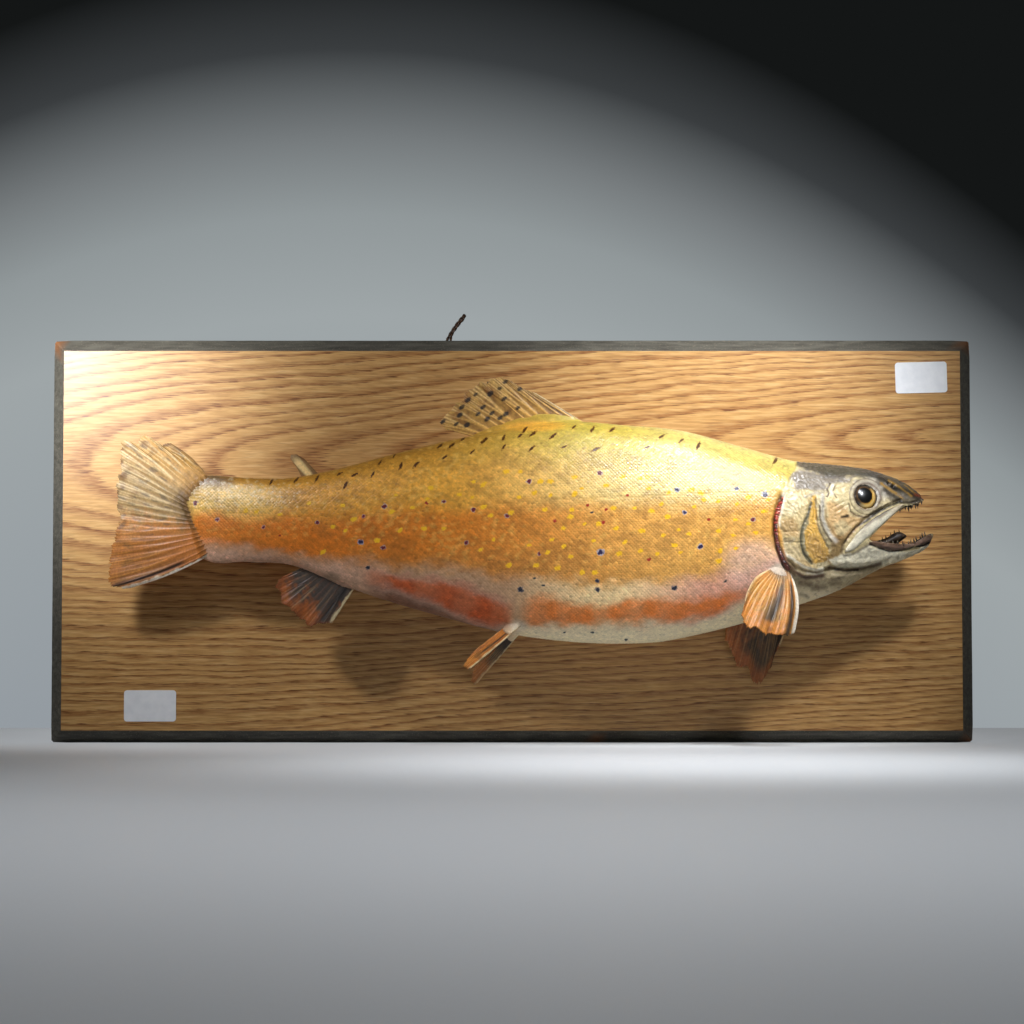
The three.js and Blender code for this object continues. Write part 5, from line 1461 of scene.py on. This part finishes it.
boardForm = {
    "width": 677, "top": 149.5, "bottom": -147, "thick": 18, "edgeDepth": 7, "bevel": 9,
    "cornerRadius": 1.2,
    "knocks": [(-338, 149, 4), (338, 148, 2.5), (311, -147, 4), (336, -147, 3), (60, -147, 2)],  # x, z, reach
    "pocket": ((-58, -6.6, 119), (-35, 1, 151)),
    "screwsAt": (30, 90), "loopScrewAt": (-46.5, 126),
    "screwHole": [(0.02, -40), (2.8, -40), (2.8, -4.2), (5.5, -1), (5.5, 1), (0.02, 1)],   # radius, y
    "pilotHole": [(0.02, -15), (1.8, -15), (1.8, 1), (0.02, 1)],
    "grainStep": 2.5,      # size of the face's cells, which carry the grain
    "ringGap": 5.4,        # from one growth ring to the next, in mm
    "pithHeight": 67,      # the arches are centred near this height
}


def grainAt(x, z):
    # growth rings cut lengthways: the cut nears the pith towards the right, so the arches point left
    places = np.stack([x * 0.3, np.zeros(len(x)), z], -1)
    heart = boardForm["pithHeight"] + 0.035 * x + 1.8 * np.sin(x / 80 + 0.4)
    depth = through([(-340, 70), (-209, 52), (-100, 44), (0, 36), (110, 27), (213, 17), (282, 8),
                     (340, 2)])(x)
    lean = 0.04 * (x + 60) * ease(40, -40, z)
    wander = 2.0 * mottle(places, 38, 61) + 0.9 * mottle(places, 15, 62) + 0.35 * mottle(places, 6, 63)
    ring = np.sqrt((z - heart - lean + wander) ** 2 + depth ** 2)
    return (ring + 1.6 * np.sin(ring / 8.3) + 0.9 * np.sin(ring / 3.1)) / boardForm["ringGap"]


def makeBoard(oak, painted, raw):
    halfW, thick, bevel = boardForm["width"] / 2, boardForm["thick"], boardForm["bevel"]
    foot, head = boardForm["bottom"], boardForm["top"]
    left, right, low, high = -halfW + bevel, halfW - bevel, foot + bevel, head - bevel

    def rim(x0, x1, z0, z1, y, radius):
        # a rectangle with rounded corners and points along its sides
        points = []
        x0, x1, z0, z1 = x0 + radius, x1 - radius, z0 + radius, z1 - radius
        corners = [(x1, z0, -90), (x1, z1, 0), (x0, z1, 90), (x0, z0, 180)]
        counts = [24, 60, 24, 60]
        for i, (cx, cz, start) in enumerate(corners):
            for a in np.radians(start + np.array([0, 22.5, 45, 67.5, 90])):
                points.append((cx + radius * math.cos(a), y, cz + radius * math.sin(a)))
            nx, nz, nextStart = corners[(i + 1) % 4]
            a = math.radians(nextStart)
            end = np.array([nx + radius * math.cos(a), y, nz + radius * math.sin(a)])
            begin = np.array(points[-1])
            steps = np.linspace(0, 1, counts[i] + 2)[1:-1, None]
            points.extend((begin + (end - begin) * steps).tolist())
        return np.array(points)

    r = boardForm["cornerRadius"]
    rings = [rim(-halfW + 0.3, halfW - 0.3, foot + 0.3, head - 0.3, 0, r),
             rim(-halfW, halfW, foot, head, -0.3, r),
             rim(-halfW, halfW, foot, head, -boardForm["edgeDepth"] + 0.4, r),
             rim(-halfW + 0.35, halfW - 0.35, foot + 0.35, head - 0.35, -boardForm["edgeDepth"] - 0.1, r),
             rim(left - 0.3, right + 0.3, low - 0.3, high + 0.3, -thick + 0.35, r),
             rim(left, right, low, high, -thick, r)]
    # small knocks along the arrises and chips at three corners
    own = np.random.default_rng(29)
    for k in (2, 3):
        rings[k][:, 0] -= np.sign(rings[k][:, 0]) * 0.12 * own.random(len(rings[k]))
        rings[k][:, 2] -= np.sign(rings[k][:, 2]) * 0.12 * own.random(len(rings[k]))
    for cx, cz, size in ((-halfW, head, 2.6), (halfW, head, 2.0), (halfW, foot, 2.2), (-halfW, foot, 1.2)):
        for ring in rings[1:4]:
            close = np.exp(-(np.hypot(ring[:, 0] - cx, ring[:, 2] - cz) / size) ** 2)
            ring[:, 0] -= np.sign(cx) * 1.1 * close * own.uniform(0.6, 1.2, len(ring))
            ring[:, 2] -= np.sign(cz) * 0.8 * close * own.uniform(0.6, 1.2, len(ring))
    board = addForms("board_wood", loft(rings), smooth=False)
    # the pocket for the loop, and countersunk holes for the two screws
    pocket = addForms("cutter", boxForm(*boardForm["pocket"]), smooth=False)
    holes = [addForms("cutter", latheY((x, 0), boardForm["screwHole"])) for x in boardForm["screwsAt"]]
    holes.append(addForms("cutter", latheY(boardForm["loopScrewAt"], boardForm["pilotHole"])))
    combine(board, [pocket, *holes])
    # the veneered face is a fine grid of its own, so that the grain can be laid on it
    bm = bmesh.new()
    bm.from_mesh(board.data)
    face = [f for f in bm.faces if f.calc_center_median().y < (-thick + 0.05) * mm]
    bmesh.ops.delete(bm, geom=face, context="FACES_ONLY")
    bm.to_mesh(board.data)
    bm.free()
    step = boardForm["grainStep"]
    gx = np.linspace(left, right, int((right - left) / step) + 1)
    gz = np.linspace(low, high, int((high - low) / step) + 1)
    grid = np.stack(np.meshgrid(gx, [-thick], gz, indexing="ij"), -1)[:, 0]
    veneer = meshPiece("veneer", grid.reshape(-1, 3), [gridFaces(len(gx), len(gz))], smooth=False)
    # raw wood on the back and in the pocket, brushed paint on the edges and the bevel
    cx, cy, cz = faceCentres(board.data).T
    cut = (cy > -6.8) & (foot + 2 < cz) & (cz < head - 2) & (np.abs(cx) < halfW - 2)
    board.data.polygons.foreach_set("material_index", ((cy > -0.2) | cut).astype(np.int32))
    veneer.data.polygons.foreach_set("material_index", np.full(len(veneer.data.polygons), 2, np.int32))
    for material in (painted, raw, oak):
        board.data.materials.append(material)
        veneer.data.materials.append(material)
    bpy.ops.object.select_all(action="DESELECT")
    veneer.select_set(True)
    board.select_set(True)
    bpy.context.view_layer.objects.active = board
    bpy.ops.object.join()
    points = meshPoints(board.data)
    setAttribute(board, "grain", "FLOAT", "POINT", grainAt(points[:, 0], points[:, 2]))
    worn = np.zeros(len(points))
    for kx, kz, reach in boardForm["knocks"]:
        worn = np.maximum(worn, ease(reach, reach * 0.6, np.hypot(points[:, 0] - kx, points[:, 2] - kz)))
    setAttribute(board, "knock", "FLOAT", "POINT", worn)
    return addPiece(board, ["board"])


def boxForm(lowest, highest):
    lowest, highest = np.array(lowest, float), np.array(highest, float)
    corners = np.array([[i, j, k] for i in (0, 1) for j in (0, 1) for k in (0, 1)])
    faces = [[0, 1, 3, 2], [4, 6, 7, 5], [0, 4, 5, 1], [2, 3, 7, 6], [0, 2, 6, 4], [1, 5, 7, 3]]
    return lowest + corners * (highest - lowest), np.array(faces)


def latheY(at, profile):
    # a turned form about a line along Y, from (radius, y) points
    a = roundAngles(32)
    return loft([np.stack([at[0] + r * np.cos(a), np.full(32, float(y)), at[1] + r * np.sin(a)], -1)
                 for r, y in profile])


# Oak veneer under a satin lacquer: warm tan wood, soft brown growth rings with dark ragged pores, and a
# sheen that turns milky towards the lamps.
def oakVeneer():
    material, tree, shader, place = newMaterial("oak veneer", Roughness=0.5, IOR=1.4, Specular_IOR_Level=0.15,
                                                Coat_Weight=0.9, Coat_Roughness=0.38)
    grain = addNode(tree, "Attribute", attribute_name="grain").outputs["Fac"]
    # pores and streaks run with the grain; real pores are finer, and these are as coarse as they need to show
    short = addNode(tree, "Mapping", {"Vector": place, "Scale": perMetre((11.8, 1000, 0.714))})
    pores = addNode(tree, "TexNoise", {"Vector": short, "Scale": 1.0, "Detail": 3.0})
    longer = addNode(tree, "Mapping", {"Vector": place, "Scale": perMetre((22.2, 1000, 1.613))})
    streaks = addNode(tree, "TexNoise", {"Vector": longer, "Scale": 1.0, "Detail": 4.0})
    shift = addNode(tree, "Math", {0: streaks, 1: 0.42, 2: grain}, operation="MULTIPLY_ADD")
    shift = addNode(tree, "Math", {0: pores, 1: 0.40, 2: shift}, operation="MULTIPLY_ADD")
    saw = addNode(tree, "Math", {0: shift}, operation="FRACT")
    ringNumber = addNode(tree, "Math", {0: shift}, operation="FLOOR")
    late = addNode(tree, "ValToRGB", {"Fac": saw}, [
        (0.0, 0.5), (0.08, 1.0), (0.3, 0.6), (0.5, 0.12), (0.92, 0.0), (1.0, 0.5)])
    chance = addNode(tree, "TexWhiteNoise", {"W": ringNumber}, noise_dimensions="1D")
    strength = addNode(tree, "MapRange", {"Value": chance, "To Min": 0.75, "To Max": 1.0})
    broken = addNode(tree, "MapRange",
                     {"Value": pores, "From Min": 0.35, "From Max": 0.6, "To Min": 0.4, "To Max": 1.0})
    dark = addNode(tree, "Math", {0: late, 1: strength}, operation="MULTIPLY")
    dark = addNode(tree, "Math", {0: dark, 1: broken}, operation="MULTIPLY")
    base = addNode(tree, "ValToRGB", {"Fac": streaks}, [(0.28, "#b38348"), (0.5, "#cc9d5d"), (0.72, "#dcb274")])
    colour = addNode(tree, "Mix", {"Factor": dark, 6: base, 7: "#874a18"}, data_type="RGBA")
    dashes = addNode(tree, "MapRange",
                     {"Value": pores, "From Min": 0.53, "From Max": 0.66, "To Min": 0.0, "To Max": 0.85})
    often = addNode(tree, "Math", {0: dark, 1: 0.75, 2: 0.22}, operation="MULTIPLY_ADD")
    dashes = addNode(tree, "Math", {0: dashes, 1: often}, operation="MULTIPLY")
    colour = addNode(tree, "Mix", {"Factor": dashes, 6: colour.outputs[2], 7: "#573112"}, data_type="RGBA")
    bump = addNode(tree, "Bump", {"Height": dashes, "Distance": 0.08 * mm, "Strength": 0.5}, invert=True)
    plug(tree, shader, {"Base Color": colour.outputs[2], "Normal": bump})
    return material


# The board's edge: fibreboard brushed with thin grey-brown paint, speckled where the brush missed.
def brushedEdge():
    material, tree, shader, place = newMaterial("brushed edge paint", Roughness=0.5, IOR=1.5)
    # brush strokes run along the edge
    stretched = addNode(tree, "Mapping", {"Vector": place, "Scale": perMetre((16.7, 3.33, 3.33))})
    strokes = addNode(tree, "TexNoise", {"Vector": stretched, "Scale": 1.0, "Detail": 4.0})
    ramp = addNode(tree, "ValToRGB", {"Fac": strokes}, [(0.3, "#48443b"), (0.5, "#5a564c"), (0.7, "#6b675b")])
    speck = addNode(tree, "TexNoise", {"Vector": place, "Scale": perMetre(1.111), "Detail": 2.0})
    missed = addNode(tree, "MapRange",
                     {"Value": speck, "From Min": 0.6, "From Max": 0.68, "To Min": 0.0, "To Max": 0.6})
    colour = addNode(tree, "Mix", {"Factor": missed, 6: ramp, 7: "#8f8672"}, data_type="RGBA")
    bare = addNode(tree, "Attribute", attribute_name="knock").outputs["Fac"]
    colour = addNode(tree, "Mix", {"Factor": bare, 6: colour.outputs[2], 7: "#8a5a34"}, data_type="RGBA")
    bump = addNode(tree, "Bump", {"Height": strokes, "Distance": 0.3 * mm, "Strength": 0.5})
    plug(tree, shader, {"Base Color": colour.outputs[2], "Normal": bump})
    return material


# Raw particleboard on the back: chips nearly 4 mm across, pressed flat, in dull tan.
def rawChipboard():
    material, tree, shader, place = newMaterial("raw particleboard", Roughness=0.8)
    chips = addNode(tree, "TexVoronoi", {"Vector": place, "Scale": perMetre(3.85)}, feature="F1")
    ramp = addNode(tree, "ValToRGB", {"Fac": chips.outputs["Color"]}, [
        (0.2, "#8a6b48"), (0.5, "#a98a62"), (0.85, "#c2a67d")])
    bump = addNode(tree, "Bump", {"Height": chips.outputs["Distance"], "Distance": 0.3 * mm})
    plug(tree, shader, {"Base Color": ramp, "Normal": bump})
    return material


labelForm = {
    "size": (38, 22.8), "corner": 2.2, "thick": 0.35,
    "lowerAt": (-264.5, -120, 0), "upperAt": (300.8, 120.9, 1.4),
}


def makeLabel(name, place, node, material):
    # a blank paper label with rounded corners
    r = labelForm["corner"]
    w, h = np.array(labelForm["size"]) / 2 - r
    cx, cz, degrees = place
    turn = math.radians(degrees)
    outline = []
    for sx, sz, start in ((1, -1, -90), (1, 1, 0), (-1, 1, 90), (-1, -1, 180)):
        for a in np.radians(start + np.linspace(0, 90, 7)):
            outline.append((sx * w + r * math.cos(a), sz * h + r * math.sin(a)))
    across, up = np.array(outline).T
    x = cx + across * math.cos(turn) - up * math.sin(turn)
    z = cz + across * math.sin(turn) + up * math.cos(turn)
    face = -boardForm["thick"] - 0.05
    sheets = loft([np.stack([x, np.full(len(x), face - d), z], -1) for d in (0, labelForm["thick"])])
    return addPiece(addForms(name, sheets, smooth=False), [node], material)


# Coated label paper: white, smooth and nearly matt.
def labelPaper():
    return mottledMaterial("coated label paper", [(0.3, "#f3f4f5"), (0.7, "#fdfdfd")], 5.56, 3.0,
                           Roughness=0.55, IOR=1.45)


loopForm = {
    "path": [(-43.6, -3.4, 121.5), (-50.6, -3.4, 122.4), (-51.4, -3.4, 130), (-49.6, -3.2, 143),
        (-47.8, -2.6, 151), (-43, -2.2, 159.5), (-38, -2.8, 166), (-35.2, -6, 168.6), (-35.4, -10, 166),
        (-40, -11.6, 160), (-44, -9.2, 154.6), (-45.4, -4.6, 150.8), (-45, -3.5, 145), (-42, -3.4, 131),
        (-41.6, -3.4, 125)],
    "strand": 0.66, "twistRadius": 0.42, "twistPitch": 9.0,
}


def makeLoop(material):
    # two strands twisted together along the loop
    path = smoothPath(loopForm["path"], 260)
    steps = runAlong(path)
    way = unit(np.gradient(path, axis=0))
    side = unit(np.cross(way, [0.3, 0.9, 0.1]))
    over = np.cross(way, side)
    forms = []
    for phase in (0, math.pi):
        a = steps / loopForm["twistPitch"] * 2 * math.pi + phase
        strand = path + loopForm["twistRadius"] * (np.cos(a)[:, None] * side + np.sin(a)[:, None] * over)
        forms.append(tube(strand, loopForm["strand"], 8))
    return addPiece(addForms("loop_strands", *forms), ["hanging_loop"], material)


# Waxed sisal cord: brown, slightly shiny, with tan fibres showing.
def waxedCord():
    return mottledMaterial("waxed cord", [(0.3, "#22160e"), (0.55, "#4d3320"), (0.78, "#8a6744")], 1.25, 3.0,
                           Roughness=0.45)


# Sawn pine: pale straw colour with faint lines of grain along the block.
def sawnPine():
    return mottledMaterial("sawn pine", [(0.35, "#a9814e"), (0.6, "#c8a572")], (40, 4, 4), 3.0, Roughness=0.6)


# Zinc plated steel screws: dull silver with faint turning marks.
def zincScrew():
    return mottledMaterial("zinc plated steel", [(0.35, "#8c8d8c"), (0.65, "#b4b5b3")], 2.0, 2.0,
                           Metallic=1.0, Roughness=0.35)


print("skin")
skin = makeSkin()
print("skin cells", len(skin.data.polygons))
refineHead(skin)
sculptSkin(skin)
# the skin under the scales needs far fewer cells than the bare head
thin = skin.modifiers.new("thin", "DECIMATE")
group = skin.vertex_groups.new(name="under scales")
points = meshPoints(skin.data)
under = np.where(points[:, 0] < borderAt(points[:, 2]) - 3)[0]
group.add([int(i) for i in under], 1.0, "REPLACE")
thin.ratio, thin.vertex_group = 1 - 0.75 * len(under) / len(points), group.name
settle(skin)
skin.data.polygons.foreach_set("use_smooth", np.full(len(skin.data.polygons), True))
print("skin cells kept", len(skin.data.polygons))
points = meshPoints(skin.data)
setAttribute(skin, "paint", "FLOAT_COLOR", "POINT", paintAt(points))
setAttribute(skin, "gloss", "FLOAT", "POINT", glossAt(points))
markFaces(skin, faceCentres(skin.data))
skin.name = "skin"
fleshNodes = ["head", "lower_jaw", "throat", "trunk", "tail_stem", "gill_cover_near", "gill_cover_far"]
addPiece(skin, fleshNodes, varnishedPaint("varnished skin paint", 1.4, 0.25))

print("scales")
scalePaint = varnishedPaint("varnished scale paint", 0.8, 0.05)
for side, name in ((near, "near"), (far, "far")):
    for low, high, part in ((-240, -40, "rear"), (-40, 85, "middle"), (85, 210, "front")):
        makeScales(side, low, high, "scales_%s_%s" % (name, part), scalePaint)

print("fins")
fin = driedFin()
for name in finForms:
    makeFin(name, fin)
makeAdipose(fin)

print("head pieces")
eyeGlass, jawSkin, tooth, mouth, gill = glassEye(), hornySkin(), agedTooth(), driedMouth(), redGill()
for side in (near, far):
    makeEye(side, eyeGlass)
makeJawbones(jawSkin)
makeTeeth(tooth)
makeTongue(mouth)
makeGills(gill)

print("board")
makeBoard(oakVeneer(), brushedEdge(), rawChipboard())
paper = labelPaper()
makeLabel("paper_lower", labelForm["lowerAt"], "label_lower", paper)
makeLabel("paper_upper", labelForm["upperAt"], "label_upper", paper)
makeLoop(waxedCord())
pine, zinc = sawnPine(), zincScrew()
for node, material in (("mounting_block", pine), ("block_screw_left", zinc), ("block_screw_right", zinc),
                       ("loop_screw", zinc)):
    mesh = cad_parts[node].data
    mesh.materials.clear()
    mesh.materials.append(material)

print("stage, light and camera")
stageForm = {
    "floorZ": -0.1472, "frontReach": 5.0, "rearReach": 0.4,
    "floorColour": "#c6c9ca", "floorGlow": 0.09, "farGlow": 0.24,
    "backdrop": [(0.4, "#9299a0"), (0.72, "#9fa6a8"), (0.80, "#91989a"), (0.86, "#767b7d"), (0.93, "#3a3d3f"),
        (1.0, "#141616")],
    # the backdrop's painted pool of light: its middle, how fast it narrows, and where it stops
    "pool": (-0.055, 1.75, 0.13),
    "skyLight": "#dfe6ea", "skyPower": 0.055,
}
front, rear = stageForm["frontReach"], stageForm["rearReach"]
corners = np.array([(-front, -front, 0), (front, -front, 0), (front, rear, 0), (-front, rear, 0)]) / mm
corners[:, 2] = stageForm["floorZ"] / mm
floor = meshPiece("floor", corners, [np.array([[0, 1, 2, 3]])], smooth=False)
mattFloor, tree, shader, place = newMaterial("matt paper floor", Roughness=0.6)
cloud = addNode(tree, "TexNoise", {"Vector": place, "Scale": 1.5, "Detail": 1.0})
tint = addNode(tree, "MapRange", {"Value": cloud, "To Min": 0.94, "To Max": 1.06})
colour = addNode(tree, "VectorMath", {0: linear(stageForm["floorColour"]), 1: tint}, operation="MULTIPLY")
plug(tree, shader, {"Base Color": colour})
# painted light: the floor glows a little, seen by the camera but lighting nothing, more towards the board and
# behind it
direct = addNode(tree, "LightPath")
depth = addNode(tree, "SeparateXYZ", {0: place}).outputs[1]
glow = addNode(tree, "MapRange",
               {"Value": depth, "From Min": -0.45, "From Max": 0.05, "To Min": stageForm["floorGlow"],
                "To Max": stageForm["farGlow"]}, interpolation_type="SMOOTHSTEP")
own = addNode(tree, "Math", {0: direct.outputs["Is Camera Ray"], 1: glow}, operation="MULTIPLY")
plug(tree, shader, {"Emission Color": "#f2f6fa", "Emission Strength": own})
floor.data.materials.append(mattFloor)

# painted light: the backdrop seen behind the board is brightest in a pool behind it and darkens upwards and to
# the sides; the light it gives is even
world = bpy.data.worlds.new("studio")
world.use_nodes = True
tree = world.node_tree
tree.nodes.clear()
way = addNode(tree, "SeparateXYZ", {0: addNode(tree, "TexCoord").outputs["Generated"]})
centre, narrowing, most = stageForm["pool"]
off = addNode(tree, "Math", {0: way, 1: centre}, operation="SUBTRACT")
off = addNode(tree, "Math", {0: off, 1: off}, operation="MULTIPLY")
off = addNode(tree, "Math", {0: off, 1: narrowing}, operation="MULTIPLY")
off = addNode(tree, "Math", {0: off, 1: most}, operation="MINIMUM")
raised = addNode(tree, "Math", {0: way.outputs[2], 1: off}, operation="ADD")
height = addNode(tree, "MapRange", {"Value": raised, "From Min": -0.2, "From Max": 0.25})
wall = addNode(tree, "ValToRGB", {"Fac": height}, stageForm["backdrop"])
seen = addNode(tree, "Background", {"Color": wall, "Strength": 1.0})
given = addNode(tree, "Background", {"Color": stageForm["skyLight"], "Strength": stageForm["skyPower"]})
rays = addNode(tree, "LightPath")
both = addNode(tree, "MixShader", {0: rays.outputs["Is Camera Ray"], 1: given, 2: seen})
addNode(tree, "OutputWorld", {"Surface": both})
bpy.context.scene.world = world

# small lamps close to the board: a pool of light at each end, two on the floor in front, and one for its back
lamps = {
    "leftPool": {"at": (-0.40, -0.35, 0.20), "to": (-0.31, 0, 0.11), "cone": 50, "size": 0.06, "power": 9},
    "leftWash": {"at": (-0.45, -0.42, 0.34), "to": (-0.20, 0, 0.10), "cone": 80, "size": 0.08, "power": 7.5},
    "rightPool": {"at": (0.33, -0.50, 0.45), "to": (0.14, 0, 0.02), "cone": 45, "size": 0.08, "power": 13},
    "upperPool": {"at": (0.20, -0.35, 0.42), "to": (0.14, 0, 0.02), "cone": 45, "size": 0.06, "power": 10},
    "floorNear": {"at": (0.14, -0.42, 0.62), "to": (0.12, -0.36, -0.147), "cone": 50, "size": 0.3, "power": 31},
    "behindBoard": {"at": (0.05, 1.0, 0.55), "to": (0, 0.02, 0), "cone": 64, "size": 0.5, "power": 5},
    "floorFront": {"at": (0.10, -1.05, 0.85), "to": (0.06, -0.95, -0.147), "cone": 84, "size": 0.4,
                   "power": 22},
}
for name, lamp in lamps.items():
    light = bpy.data.lights.new(name, "SPOT")
    light.energy, light.shadow_soft_size = lamp["power"], lamp["size"] / 2
    light.spot_size, light.spot_blend = math.radians(lamp["cone"]), 1.0
    light.color = linear("#f6f9ff")
    holder = bpy.data.objects.new(name, light)
    holder.location = lamp["at"]
    holder.rotation_euler = (Vector(lamp["to"]) - Vector(lamp["at"])).to_track_quat("-Z", "Y").to_euler()
    holder.visible_camera = False
    bpy.context.scene.collection.objects.link(holder)

view = bpy.data.cameras.new("view")
view.sensor_width, view.lens = 36, 95.87
camera = bpy.data.objects.new("view", view)
camera.location = (0, -2.0153, -0.0828)
camera.rotation_euler = (math.radians(93), 0, 0)
bpy.context.scene.collection.objects.link(camera)
bpy.context.scene.camera = camera
bpy.context.scene.view_settings.view_transform = "Standard"

print("done")
